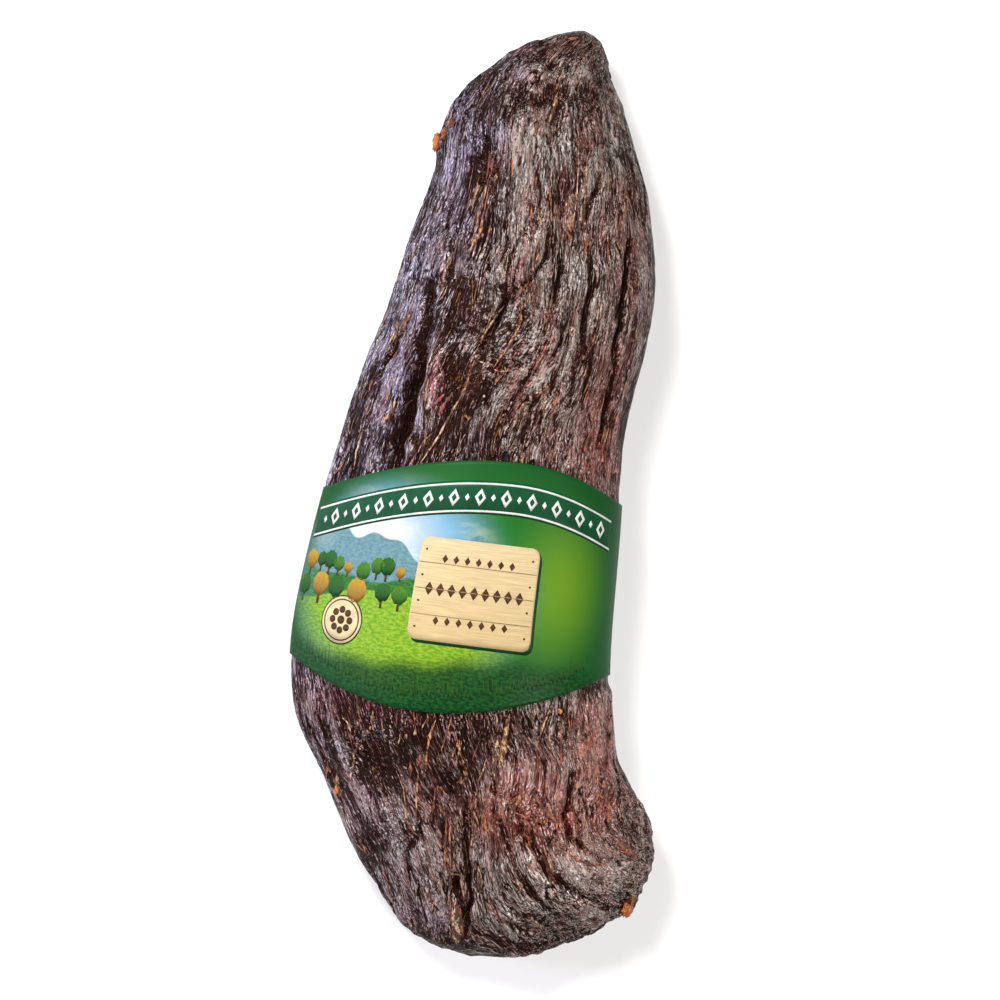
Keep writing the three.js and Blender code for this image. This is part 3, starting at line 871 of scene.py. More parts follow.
# Noise on the meat in fibre places: its scale across the fibres and into them, its scale along
# them, its detail and its roughness. The swayed ones wander with the sway.
Noise = namedtuple("Noise", "across along detail roughness")
SWAYED_NOISES = {
    "fibres": Noise(0.70, 0.085, 2.0, 0.6),
    "grains": Noise(1.0, 0.060, 2.0, 0.6),
    "folds": Noise(0.22, 0.030, 4.0, 0.62),
    "wrinkles": Noise(0.22, 0.36, 3.0, 0.6),
    "specks": Noise(1.1, 0.50, 2.0, 0.6),
    "hairs": Noise(0.60, 0.046, 2.0, 0.5),
    "threads": Noise(1.6, 0.12, 2.0, 0.6),
    "scratches": Noise(1.25, 0.36, 1.5, 0.6),
    # The next two place the painted shade of pits and the pale specks painted as glints.
    "pits": Noise(1.5, 0.62, 0.0, 0.5),
    "salt": Noise(1.8, 0.75, 0.0, 0.5),
    "lines": Noise(0.11, 0.010, 2.0, 0.5),
    "streaks": Noise(0.26, 0.028, 2.0, 0.5),
}
STILL_NOISES = {
    "blotches": Noise(0.085, 0.040, 4.0, 0.6),
    "calm": Noise(0.070, 0.036, 3.0, 0.6),
}
SWAY = Noise(0.075, 0.032, 3.0, 0.5)
SWAY_REACH = (9.0, 10.0, 9.0)
MEAN_HEIGHT, SHADE_START = 1.03, 0.870

# Colours that the settings leave out: the lightest of flesh, two light reds and the lightest of lilac,
# partly painted sheen on the ridges; hairlines and pits, which are painted shade; and pale specks painted as
# glints.
BRIGHT_FLESH = (0.30, 0.26, 0.23)
LIGHT_RED, BRIGHT_RED = (0.235, 0.050, 0.037), (0.29, 0.095, 0.072)
BRIGHT_LILAC = (0.295, 0.258, 0.425)
HAIRLINE_SHADE_COLOR, PIT_SHADE_COLOR = (0.012, 0.004, 0.003), (0.014, 0.006, 0.005)
GLINT_COLOR = (0.50, 0.43, 0.40)
FIBRE_BUMP, FILM_BUMP = 0.0010, 0.0009  # metres


def layer_noise(tree, vector, layer, output="Fac"):
    """The noise of a layer over fibre places."""
    scale = (layer.across, layer.along, layer.across)
    return stretched_noise(tree, vector, scale, layer.detail, layer.roughness, output)


def meat_parts(tree):
    """The sockets that the meat's height and colour are mixed from: its point attributes, its
    noises, and the ridges, cracks, edges of cracks and hairlines found in them."""
    grain = attribute(tree, "grain", "Vector")
    keys = ("tone", "raw", "violet", "gloss", "crumple", "lace")
    found = {key: attribute(tree, key) for key in keys}
    sway = vector_node(tree, "SUBTRACT", layer_noise(tree, grain, SWAY, "Color"), (0.5, 0.5, 0.5))
    swayed = vector_node(tree, "MULTIPLY_ADD", sway, SWAY_REACH, grain)
    for vector, noises in ((swayed, SWAYED_NOISES), (grain, STILL_NOISES)):
        for key, layer in noises.items():
            found[key] = layer_noise(tree, vector, layer)
    parts = SimpleNamespace(**found)
    parts.fibre_ridges = billow(tree, parts.fibres, 0.060)
    parts.fold_ridges = billow(tree, parts.folds, 0.042)
    crumpled = math_node(tree, "ADD", times(tree, parts.crumple, 0.75), 0.12)
    parts.crumpled_ridges = times(tree, billow(tree, parts.wrinkles, 0.075), crumpled)
    parts.crack = times(tree, vein(tree, parts.lines, 0.5, 0.013), ramp(tree, parts.blotches, 0.42, 0.52))
    parts.edge = vein(tree, parts.lines, 0.520, 0.008)
    parts.hairline = times(tree, vein(tree, parts.hairs, 0.5, 0.062), ramp(tree, parts.calm, 0.66, 0.46))
    return parts


def meat_height(tree, parts):
    """Height of the bump: ridges, grains, specks and scratches, less cracks and hairlines."""
    straight = math_node(tree, "SUBTRACT", 1.0, times(tree, parts.crumple, 0.7))
    return weighted(tree, (
        (times(tree, parts.fibre_ridges, straight), 0.46), (parts.grains, 0.52),
        (parts.fold_ridges, 0.13), (parts.crumpled_ridges, 0.60), (parts.specks, 0.40),
        (parts.crack, -0.9), (parts.scratches, 0.20), (parts.hairline, -0.25),
    ))


def meat_shade(tree, parts, height):
    """How light the meat is: the bump's height, painted as shade in its valleys and as sheen on its ridges,
    with more contrast in restless, crumpled and dark places, and the tone of the patches, blotches and
    threads."""
    in_dark = math_node(tree, "MAXIMUM", times(tree, parts.tone, -0.6), 0.0)
    restless = ramp(tree, parts.calm, 0.62, 0.42)
    contrast = weighted(tree, ((restless, 0.65), (parts.crumple, 0.25), (in_dark, 2.3), (1.0, 0.72)))
    # The bump's height painted into the colour: shade in the valleys, sheen on the ridges.
    relief = times(tree, math_node(tree, "SUBTRACT", height, MEAN_HEIGHT), contrast)
    dark_threads = times(tree, math_node(tree, "SUBTRACT", parts.threads, 0.5), in_dark)
    shade = weighted(tree, (
        (relief, 1.0), (parts.tone, 0.66), (parts.blotches, 1.3), (parts.threads, 1.5),
        (dark_threads, 3.0), (in_dark, -0.24),
    ))
    return math_node(tree, "SUBTRACT", shade, SHADE_START)


def meat_inks(tree, shade, settings):
    """The colours of dried flesh, of red flesh and of the lilac flank at each shade: their dark ends are
    painted shade, their light ends partly painted sheen.
    """
    flesh = color_steps(tree, shade, (
        (0.09, settings.crevice_shade), (0.30, tinted(settings.flesh, 0.48)), (0.51, settings.flesh),
        (0.73, settings.dry), (0.95, settings.bloom_and_sheen), (1.0, BRIGHT_FLESH),
    ))
    red = color_steps(tree, shade, (
        (0.08, tinted(settings.raw, 0.09)), (0.30, tinted(settings.raw, 0.50)), (0.56, settings.raw),
        (0.80, LIGHT_RED), (1.0, BRIGHT_RED),
    ))
    lilac = color_steps(tree, shade, (
        (0.06, settings.crevice_shade), (0.29, tinted(settings.violet, 0.45)), (0.56, settings.violet),
        (1.0, BRIGHT_LILAC),
    ))
    return flesh, red, lilac


def meat_color(tree, parts, shade, settings):
    """Flesh, and over it, each by its share: red, lilac, tan edges and lace, hairlines and pits painted dark
    as shade, and pale specks painted as glints."""
    color, red, lilac = meat_inks(tree, shade, settings)
    red_share = weighted(tree, ((ramp(tree, parts.specks, 0.36, 0.56), 0.4), (1.0, 0.82)))
    red_share = times(tree, parts.raw, red_share, clamp=True)
    streak_share = times(tree, ramp(tree, parts.streaks, 0.46, 0.60), 0.40)
    tan_share = times(tree, parts.edge, ramp(tree, parts.specks, 0.40, 0.54))
    tan_share = times(tree, tan_share, ramp(tree, parts.streaks, 0.42, 0.52))
    lace_share = times(tree, parts.lace, vein(tree, parts.wrinkles, 0.52, 0.022))
    # Pale specks painted as glints on light and glossy places.
    glint_share = times(tree, ramp(tree, parts.salt, 0.61, 0.71), ramp(tree, shade, 0.26, 0.60))
    for share, over in (
        (math_node(tree, "MAXIMUM", red_share, streak_share), red),
        (parts.violet, lilac),
        (math_node(tree, "MAXIMUM", tan_share, lace_share), opaque(settings.tan)),
        # Hairlines and pits are painted shade; the pale specks after them are painted glints.
        (times(tree, parts.hairline, 0.75), opaque(HAIRLINE_SHADE_COLOR)),
        (times(tree, ramp(tree, parts.pits, 0.38, 0.29), 0.80), opaque(PIT_SHADE_COLOR)),
        (times(tree, glint_share, weighted(tree, ((parts.gloss, 0.40), (1.0, 0.45)))), opaque(GLINT_COLOR)),
    ):
        color = mix_colors(tree, share, color, over)
    return color


def meat_film(tree, parts, shade):
    """Weight of the oily film, more on glossy and on light places, and height of its own bump."""
    weight = weighted(tree, (
        (parts.gloss, 0.5), (ramp(tree, parts.blotches, 0.40, 0.55), 0.25), (1.0, 0.4),
    ))
    height = weighted(tree, (
        (parts.fibre_ridges, 0.30), (parts.crumpled_ridges, 0.5), (parts.specks, 0.5), (parts.crack, -0.9),
    ))
    return times(tree, weight, ramp(tree, shade, 0.28, 0.62), clamp=True), height


def dried_meat_material(settings):
    """Dark crust of fine parallel fibres: thin near-black lines and long cracks painted as shade between
    grey ridges that are partly dry and partly painted sheen, with red flesh, a lilac flank partly painted
    cool light, crumpled places, tan edges beside the cracks, painted shade in pits and painted glints, under
    a film of oil."""
    material, tree, shader = new_material(
        "dried meat", IOR=1.45, Specular_IOR_Level=0.06, Specular_Tint=(1.0, 0.92, 0.87, 1.0),
        Coat_Roughness=0.12, Coat_IOR=1.6,
    )
    parts = meat_parts(tree)
    height = meat_height(tree, parts)
    shade = meat_shade(tree, parts, height)
    film, film_height = meat_film(tree, parts, shade)
    rough = weighted(tree, ((parts.gloss, -0.10), (parts.blotches, 0.20)))
    tree.links.new(meat_color(tree, parts, shade, settings), shader.inputs["Base Color"])
    tree.links.new(math_node(tree, "ADD", rough, 0.15), shader.inputs["Roughness"])
    tree.links.new(film, shader.inputs["Coat Weight"])
    bump_shader(tree, height, FIBRE_BUMP, shader.inputs["Normal"])
    bump_shader(tree, film_height, FILM_BUMP, shader.inputs["Coat Normal"])
    return material


def meat_layers(rings, base, normal, carved):
    """The masks of the meat's colour over its rings. Tone, from dark to light, carries painted shade: it
    falls where the relief lies deeper than its own blur, in furrows and cracks, on the side that faces right
    and beside the strands."""
    height = np.sum((rings - base) * normal, axis=-1)
    # Painted shade: darker where the relief lies below its blur and where furrows and cracks are cut.
    hollow_shade = 0.4 * (blurred(height, 2, 4) - height) + 0.35 * (blurred(height, 7, 12) - height)
    hollow_shade = np.clip(hollow_shade + 0.10 * carved, -0.4, 1.5)
    x, y = rings[..., 0], rings[..., 1]
    up = smooth(0.0, 0.5, normal[..., 2])
    patchy = smooth(-0.3, 0.3, noise(x / 7, y / 12, rings[..., 2] / 7, 21))

    def above(group):
        """The share of the patches on what faces up."""
        return patch_share(x, y, group) * up

    # Painted shade on the side that faces right, away from the key light.
    shaded_right_side = smooth(0.55, 0.15, normal[..., 2]) * smooth(0.1, 0.5, normal[..., 0])
    tone = above(PALE_PATCHES) * (0.5 + 0.5 * patchy) - above(DARK_PATCHES) * (0.75 + 0.25 * patchy)
    tone = tone + patch_sum(x, y, LIFTS) * up - hollow_shade - 0.6 * shaded_right_side
    raw = above(RED_PATCHES) * (0.6 + 0.4 * patchy)
    # Violet where the skin faces left, partly painted cool light from the left strip.
    violet = smooth(-0.25, -0.7, normal[..., 0]) * smooth(-0.3, 0.2, normal[..., 2])
    violet = violet * (1 - 0.5 * smooth(-60, -110, y))
    violet = np.maximum(violet, above(VIOLET_PATCHES)) * (0.55 + 0.35 * patchy)
    # Painted shadow beside the strands, and red flesh round them.
    beside = strand_share(x, y) * up
    return {
        "tone": tone - 0.45 * beside,
        "raw": np.maximum(raw, 0.6 * beside),
        "violet": violet * (1 - 0.8 * np.clip(raw, 0, 1)),
        "gloss": above(GLOSSY_PATCHES),
        "crumple": above(CRUMPLED_PATCHES),
        "lace": above(LACE_PATCHES),
    }


def with_ends(grid):
    """The values of a grid of rings in the order of closed_skin's points."""
    flat = grid.reshape(-1, *grid.shape[2:])
    first, last = grid[0].mean(axis=0), grid[-1].mean(axis=0)
    return np.concatenate([[first], flat, [last]])


class PROSCIUTTO_OT_meat(bpy.types.Operator):
    """Makes the dried meat as one closed surface in place of the plain solid"""

    bl_idname = "prosciutto.meat"
    bl_label = "Make the meat"

    def execute(self, context):
        settings = context.scene.prosciutto_meat
        angles = column_angles(settings.top_columns, settings.keel_columns)
        s, a = np.meshgrid(row_places(settings.rows), angles, indexing="ij")
        rings, normal, carved = meat_surface(s, a, settings)
        ends = skin(np.array([0.0, float(LAST_RIB)]), np.zeros(2))
        points, faces = closed_skin(rings, ends[0], ends[1])
        layers = meat_layers(rings, skin(s, a), normal, carved)
        layers["grain"] = np.stack(fibre_places(rings), axis=-1)
        attributes = {key: with_ends(layer) for key, layer in layers.items()}
        meat = new_mesh("prosciutto_meat", points, faces, attributes)
        meat.data.materials.append(dried_meat_material(settings))
        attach(meat, "root")
        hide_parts("prosciutto")
        return {"FINISHED"}


def place_on_skin(x, y):
    """Rib number and angle of the skin's upper face at a place in plan.

    The share of the way from edge to edge gives the angle, and the rib number is found by halving
    its range until the skin there reaches y; the two are found in turn."""
    x, y = np.asarray(x, float), np.asarray(y, float)
    share = np.full(x.shape, 0.5)
    for _ in range(6):
        low, high = np.zeros(x.shape), np.full(x.shape, float(LAST_RIB))
        for _ in range(24):
            s = (low + high) / 2
            short = mixed(left_y(s), right_y(s), share) < y
            low, high = np.where(short, s, low), np.where(short, high, s)
        share = np.clip((x - left_x(s)) / np.maximum(right_x(s) - left_x(s), 1e-6), 0.01, 0.99)
    return s, np.arccos(1 - 2 * share)


def fibre_direction(x, y):
    """Unit vectors along the fibres in plan: square to the slope of the place across them."""
    step = 0.5

    def across(px, py):
        """Place across the fibres."""
        return fibre_places(np.stack([px, py, np.full_like(px, 40.0)], axis=-1))[0]

    slope_x = across(x + step, y) - across(x - step, y)
    slope_y = across(x, y + step) - across(x, y - step)
    size = np.maximum(np.hypot(slope_x, slope_y), 1e-9)
    return -slope_y / size, slope_x / size


def strand_lines(starts, lengths, steps=13):
    """Lines that follow the fibres from their start, both ways: (strands, steps, 2)."""
    x, y = starts[:, 0].copy(), starts[:, 1].copy()
    half = steps // 2
    sides = []
    for sign in (-1, 1):
        px, py, line = x.copy(), y.copy(), []
        for _ in range(half):
            dx, dy = fibre_direction(px, py)
            px, py = px + sign * dx * lengths / steps, py + sign * dy * lengths / steps
            line.append(np.stack([px, py], axis=-1))
        sides.append(line)
    return np.stack(sides[0][::-1] + [starts] + sides[1], axis=1)


def path_points(path, count):
    """Points spaced evenly along a polyline, with its corners rounded by three passes of averaging."""
    path = np.array(path, float)
    length = sums_so_far(np.linalg.norm(np.diff(path, axis=0), axis=1))
    places = np.linspace(0, length[-1], count)
    points = np.stack([np.interp(places, length, path[:, axis]) for axis in (0, 1)], axis=-1)
    for _ in range(3):
        points[1:-1] = (points[:-2] + 2 * points[1:-1] + points[2:]) / 4
    return points


def strands_on_meat(lines, half_widths, heights, seed, settings):
    """Tapered closed strands that lie on the real surface along lines in plan, and how near to its
    edge each point is.

    Round each strand, points at angle t lie half_width * cos(t) to the side and height * sin(t)
    over the surface; along it both swell and taper as a parabola to the power 0.8, and noise
    pinches them."""
    count, steps = lines.shape[:2]
    around = STRAND_SIDES
    place = np.linspace(-1, 1, steps)
    taper = np.maximum(1 - place**2, 0.02) ** 0.8
    ahead = np.gradient(lines, axis=1)
    ahead /= np.maximum(np.linalg.norm(ahead, axis=-1, keepdims=True), 1e-9)
    side = np.stack([ahead[..., 1], -ahead[..., 0]], axis=-1)
    pinch = noise(lines[..., 0] * 0.9, lines[..., 1] * 0.45, 0.0, seed)
    half = half_widths[:, None] * taper * (0.95 + 0.8 * pinch)
    turn = 2 * math.pi * np.arange(around) / around
    line_x, line_y = lines[..., 0, None], lines[..., 1, None]
    ragged = 1 + 0.35 * noise(line_x * 1.3, line_y * 1.1, np.cos(turn) * 3, seed + 1)
    offset = half[..., None] * np.cos(turn) * ragged
    x = line_x + offset * side[..., 0, None]
    y = line_y + offset * side[..., 1, None]
    s, a = place_on_skin(x, y)
    surface, normal, _ = meat_surface(s, a, settings)
    lift = heights[:, None, None] * taper[:, None] * np.sin(turn) * np.where(np.sin(turn) < 0, 1.5, 1.0)
    rings = surface + normal * lift[..., None]
    quads = tube_faces(steps, around)
    caps = np.stack([np.arange(around)[::-1], np.arange(around) + (steps - 1) * around])
    shift = (np.arange(count) * steps * around)[:, None, None]
    edge = np.broadcast_to(np.abs(np.cos(turn)), rings.shape[:3])
    faces = [(quads[None] + shift).reshape(-1, 4), (caps[None] + shift).reshape(-1, around)]
    return rings.reshape(-1, 3), faces, edge.reshape(-1)


# Strands that the meat shows plainly: half width, tint and path in plan.
# Tint 0 is pale lilac sinew, 0.2 cream, 0.35 gold, 0.5 orange, 0.7 red and 0.9 wine.
Strand = namedtuple("Strand", "half_width tint path")
STRANDS = with_paths(
    Strand,
    # Broad end, middle: the tendon and what lies round it.
    (1.35, 0.28, (16, -98), (15, -112), (15.5, -117), (13.5, -122)),
    (1.00, 0.25, (12.5, -107), (11.5, -118), (13, -127), (15, -130), (17, -133)),
    (0.45, 0.22, (8, -119), (7.5, -124), (6, -129), (5.5, -135), (4.5, -139)),
    (0.40, 0.30, (5.5, -143), (8.5, -149)),
    (0.40, 0.35, (6.5, -152), (6, -160)),
    (0.35, 0.65, (4.5, -110), (2, -121)),
    (0.35, 0.22, (-3.5, -112), (-5, -124)),
    (0.40, 0.32, (-5, -112), (-8, -124)),
    (0.40, 0.32, (-9, -101), (-12, -118)),
    (0.55, 0.50, (-6.5, -143), (-5, -158), (-4, -170)),
    (0.55, 0.45, (-4, -146), (-3.5, -156), (-2, -166), (-1, -172)),
    (0.75, 0.46, (8.5, -140), (12, -150), (14, -151)),
    (1.30, 0.50, (26, -129), (25, -135), (22.5, -140), (21, -146)),
    (1.30, 0.34, (20.5, -145), (22.5, -147)),
    (0.45, 0.30, (21.5, -149), (22.5, -152)),
    (0.80, 0.38, (15, -146.5), (18.5, -147)),
    (0.80, 0.48, (23, -141), (28, -142.5), (35, -144), (41, -143), (44, -142)),
    (1.00, 0.62, (32, -133), (38, -140), (43, -143), (43, -147)),
    (0.45, 0.72, (30, -112), (31, -120), (30, -127)),
    (0.45, 0.25, (34, -93), (32, -101), (30.5, -107), (30, -111)),
    (1.10, 0.36, (38, -93), (39, -95.5)),
    (0.90, 0.38, (44.5, -135), (45.5, -137.5)),
    (0.80, 0.48, (41, -131), (45, -136)),
    (0.85, 0.60, (50, -137), (52, -145), (53, -150)),
    (0.95, 0.56, (59, -117), (62, -125), (64, -135), (65, -142), (68, -147)),
    (0.75, 0.54, (57, -129), (63, -131)),
    (0.40, 0.68, (60, -90), (61, -105), (62, -118)),
    (1.90, 0.60, (69, -148), (74, -152), (80, -156)),
    (0.65, 0.50, (46, -155), (52, -158), (60, -160.5), (66, -160), (68, -157)),
    (0.90, 0.74, (38, -158), (42, -166), (46, -170)),
    (0.45, 0.62, (22, -158), (27, -161)),
    (0.75, 0.58, (28, -149), (33, -154)),
    (0.45, 0.58, (14, -153), (17, -160)),
    (0.40, 0.60, (52, -104), (53, -116), (52, -124)),
    (0.35, 0.66, (40, -104), (41, -116), (40, -126)),
    # Broad end, left.
    (0.90, 0.32, (-58, -135), (-56, -142), (-54.5, -146)),
    (0.50, 0.22, (-51, -119), (-50.5, -124), (-50.5, -132), (-50, -139)),
    (0.50, 0.22, (-59, -110), (-56, -112), (-54, -116)),
    (0.60, 0.40, (-44.5, -104), (-45, -111)),
    (0.90, 0.36, (-45, -111.5), (-45.2, -113.5)),
    (0.40, 0.45, (-53, -101), (-51, -108)),
    (0.40, 0.32, (-39.5, -108), (-39, -115)),
    (0.40, 0.58, (-33.5, -104), (-33, -109)),
    (0.40, 0.32, (-30.5, -112), (-31.5, -118)),
    (0.80, 0.40, (-27.5, -112), (-28.5, -114.5)),
    (0.60, 0.24, (-24.5, -109), (-24, -112.5)),
    (0.85, 0.36, (-16, -104), (-17.5, -110), (-18, -115), (-18.2, -119)),
    (0.40, 0.30, (-18.2, -118), (-17.5, -128)),
    (0.40, 0.32, (-20, -104), (-22, -110)),
    (0.90, 0.64, (-20.5, -120), (-21.5, -126)),
    (0.45, 0.22, (-21, -128), (-20, -140), (-19, -150)),
    (0.70, 0.58, (-25, -124), (-24, -131)),
    (0.40, 0.34, (-34, -126), (-30, -131), (-27, -136), (-25, -142), (-24, -150), (-20, -156), (-14, -160)),
    (0.50, 0.58, (-63, -130), (-62, -138)),
    (0.50, 0.62, (-12.5, -134), (-12.5, -152)),
    # The slit at the broad end, its lips and the tissue in it.
    (0.60, 0.14, (-1.5, -173), (-1, -180), (-0.5, -186)),
    (0.60, 0.26, (3, -174.5), (5, -180), (6, -184)),
    (0.50, 0.22, (-1.5, -172.5), (3, -173.5)),
    (1.70, 0.20, (1.5, -184), (3, -190), (4.5, -196), (6, -204)),
    (0.60, 0.52, (0, -184), (1, -191), (2.6, -198), (4, -204)),
    (1.50, 0.10, (2.0, -183.5), (3.2, -189), (4.8, -196), (6.0, -202)),
    (1.10, 0.16, (0.8, -187), (2.2, -193), (3.8, -199), (5.2, -205)),
    (0.50, 0.60, (4, -186), (6, -193), (7.5, -202)),
    # Below the narrow half, left of the middle.
    (0.90, 0.38, (-49, 73), (-51, 69), (-53, 66)),
    (0.70, 0.40, (-55, 70), (-53.5, 65)),
    (0.65, 0.26, (-54.5, 66), (-57, 58), (-58, 54)),
    (0.45, 0.32, (-53, 56), (-54, 51)),
    (0.80, 0.42, (-46.5, 51.5), (-46, 49)),
    (1.00, 0.62, (-62, 42), (-62.5, 36)),
    (0.80, 0.42, (-54.5, 37), (-54, 33.5)),
    (0.60, 0.32, (-51, 34), (-51.5, 30), (-54, 24)),
    (0.60, 0.80, (-64, 18), (-66, 14)),
    (0.55, 0.06, (-63, 20), (-66, 8), (-67, 0)),
    (0.50, 0.10, (-33, 70), (-35, 62), (-36, 58), (-38.5, 50), (-40, 42), (-42, 34), (-46, 26)),
    (0.60, 0.36, (-39.3, 45), (-39.7, 41)),
    (0.90, 0.74, (-27, 41), (-32, 30)),
    (0.60, 0.70, (-30, 40), (-34, 33)),
    (0.48, 0.18, (-21, 43), (-26, 34), (-28, 28), (-31, 20), (-35, 12), (-38, 6)),
    (0.40, 0.28, (-33, 22), (-37, 17), (-39, 12)),
    (0.45, 0.06, (-19, 23), (-22, 16), (-23, 10)),
    # Below the narrow half, right of the middle.
    (0.80, 0.32, (-21.5, 120), (-22, 113), (-25, 106), (-26, 101)),
    (0.40, 0.50, (1.5, 120), (0, 112)),
    (0.50, 0.32, (4, 106), (3, 102)),
    (0.50, 0.72, (0, 108), (-3, 100), (-5, 99)),
    (0.85, 0.34, (1, 93), (-1, 90), (-3, 87), (-4, 85)),
    (0.75, 0.34, (-1.5, 82), (0, 77), (-1, 72), (-3, 67), (-5, 62), (-8, 57), (-10, 53)),
    (0.45, 0.28, (-10, 53), (-7, 52), (-4, 52.5), (-5, 55)),
    (0.40, 0.16, (-9, 82), (-12, 76), (-15, 70), (-18, 62)),
    (0.40, 0.16, (-18, 56), (-14, 55)),
    (0.90, 0.74, (-20, 54), (-20, 52)),
    (0.40, 0.28, (-20, 52), (-21, 44), (-25, 36)),
    (0.90, 0.58, (13, 68), (11, 62), (9, 56), (7, 52)),
    (0.40, 0.34, (12, 66), (10.5, 60)),
    (0.45, 0.66, (7, 52), (3, 42), (1, 32)),
    (0.45, 0.56, (17, 50), (10, 42)),
    (0.65, 0.52, (20, 46), (19, 40), (18, 36)),
    (0.80, 0.52, (26, 120), (25, 112)),
    (0.60, 0.18, (29.5, 64.5), (30, 61.5)),
    (0.40, 0.32, (32, 60), (30, 54)),
    (0.60, 0.52, (43, 68), (43, 60), (41.5, 52), (40, 42), (40, 38)),
    (0.40, 0.52, (50, 84), (51, 72)),
    (0.45, 0.56, (46, 34), (45, 22)),
    (0.45, 0.60, (36, 30), (34, 20)),
    # Narrow half.
    (1.00, 0.30, (3.5, 180), (3, 172), (1.5, 165)),
    (1.30, 0.72, (-24.3, 150), (-22.7, 143), (-23, 137)),
    (1.00, 0.22, (-18.6, 140), (-18.4, 136.5)),
    (0.80, 0.34, (-22.5, 131), (-23.5, 120), (-24, 112)),
    (0.40, 0.46, (-1, 142), (-1.5, 136)),
    (0.50, 0.58, (-2, 128), (-1, 118)),
    (0.90, 0.72, (-3.5, 164), (-3.5, 160)),
    (0.42, 0.14, (15, 163), (17, 145), (18, 130), (17, 117)),
    (0.42, 0.14, (22, 160), (20, 150), (21.5, 135), (22.5, 118)),
    (0.60, 0.74, (34, 143), (34, 139)),
    (0.50, 0.70, (20.5, 159), (20.5, 156)),
    (1.20, 0.55, (6, 205), (10, 205.5)),
    (0.60, 0.60, (-13, 182), (-11, 180)),
    (0.40, 0.62, (38, 128), (40, 112)),
    (0.40, 0.30, (33, 118), (34, 108)),
)
SEEDED_STRANDS = 160
STRAND_SEED, STRAND_NOISE_SEED = 11, 50
STRAND_STEPS, STRAND_SIDES = 33, 8


def seeded_strands(count, seed):
    """Starts, lengths, half widths, heights and tints of the many small strands."""
    random = np.random.default_rng(seed)
    x = random.uniform(-80, 82, count * 6)
    y = random.uniform(-200, 200, count * 6)
    left, right = edges_at(y, 200)
    clear = (x > left + 6) & (x < right - 4) & ((y < -88) | (y > 4))
    likely = 0.25 + 0.9 * patch_share(x, y, RED_PATCHES)
    likely = likely + 0.5 * smooth(-98, -112, y) * smooth(-160, -130, y)
    likely = likely + 0.35 * smooth(100, 60, y) * smooth(-5, 5, y)
    keep = np.flatnonzero(clear & (random.uniform(0, 1.3, len(x)) < likely))[:count]
    starts = np.stack([x[keep], y[keep]], axis=-1)
    lengths = random.uniform(4, 16, len(keep)) ** 1.1
    half_widths = random.uniform(0.12, 0.22, len(keep))
    heights = random.uniform(0.08, 0.2, len(keep))
    tints = np.clip(random.normal(0.62, 0.22, len(keep)), 0.15, 0.95)
    return starts, lengths, half_widths, heights, tints


# The colours of sinew and fat from tint 0 on, the dark breaks and gaps in them and their edges.
SINEW_COLORS = (
    (0.0, (0.50, 0.43, 0.50)), (0.12, (0.50, 0.37, 0.27)), (0.30, (0.42, 0.24, 0.08)),
    (0.50, (0.40, 0.13, 0.04)), (0.70, (0.26, 0.055, 0.035)), (0.85, (0.16, 0.028, 0.028)),
    (1.0, (0.05, 0.012, 0.010)),
)
BREAK_COLOR, GAP_COLOR = (0.030, 0.010, 0.007), (0.055, 0.024, 0.016)
SINEW_EDGE_COLOR = (0.06, 0.018, 0.014)
AMBER_COLORS = (
    (0.50, (0.50, 0.21, 0.020)), (0.74, (0.38, 0.12, 0.012)), (0.92, (0.18, 0.040, 0.010)),
    (1.0, (0.06, 0.014, 0.008)),
)
SINEW_BUMP, FAT_BUMP = 0.0007, 0.0008  # metres


def strand_material():
    """Sinew, fat and dried flesh: pale lilac through gold and orange to wine red, darker and redder
    towards the edges, with fine dark breaks."""
    material, tree, shader = new_material("sinew and fat", Roughness=0.30, IOR=1.45, Specular_IOR_Level=0.35)
    tint, grain = attribute(tree, "tint"), attribute(tree, "grain", "Vector")
    edge = attribute(tree, "edge")
    mottled = stretched_noise(tree, grain, (0.9, 0.34, 0.9), detail=3.0, roughness=0.65)
    fine = stretched_noise(tree, grain, (1.5, 0.42, 1.5), detail=3.0, roughness=0.6)
    gaps = stretched_noise(tree, grain, (0.40, 0.15, 0.40), detail=3.0, roughness=0.6)
    moved = weighted(tree, ((tint, 1.0), (mottled, 0.8), (edge, 0.22)))
    color = color_steps(tree, math_node(tree, "SUBTRACT", moved, 0.46), SINEW_COLORS)
    for share, over in (
        (ramp(tree, fine, 0.52, 0.42), BREAK_COLOR),
        (ramp(tree, gaps, 0.52, 0.44), GAP_COLOR),
        (times(tree, ramp(tree, edge, 0.55, 1.0), 0.6), SINEW_EDGE_COLOR),
    ):
        color = mix_colors(tree, share, color, opaque(over))
    tree.links.new(color, shader.inputs["Base Color"])
    bump_shader(tree, fine, SINEW_BUMP, shader.inputs["Normal"])
    return material


def fat_material():
    """Clear amber fat, browner where its tint is high and in its hollows."""
    material, tree, shader = new_material(
        "amber fat", Roughness=0.28, IOR=1.45, Subsurface_Weight=0.25, Subsurface_Scale=0.002,
        Subsurface_Radius=(1.0, 0.35, 0.08),
    )
    tint, grain = attribute(tree, "tint"), attribute(tree, "grain", "Vector")
    mottled = stretched_noise(tree, grain, (0.7, 0.7, 0.7), detail=3.0, roughness=0.6)
    color = color_steps(tree, weighted(tree, ((tint, 1.0), (mottled, 0.7))), AMBER_COLORS)
    tree.links.new(color, shader.inputs["Base Color"])
    bump_shader(tree, mottled, FAT_BUMP, shader.inputs["Normal"])
    return material


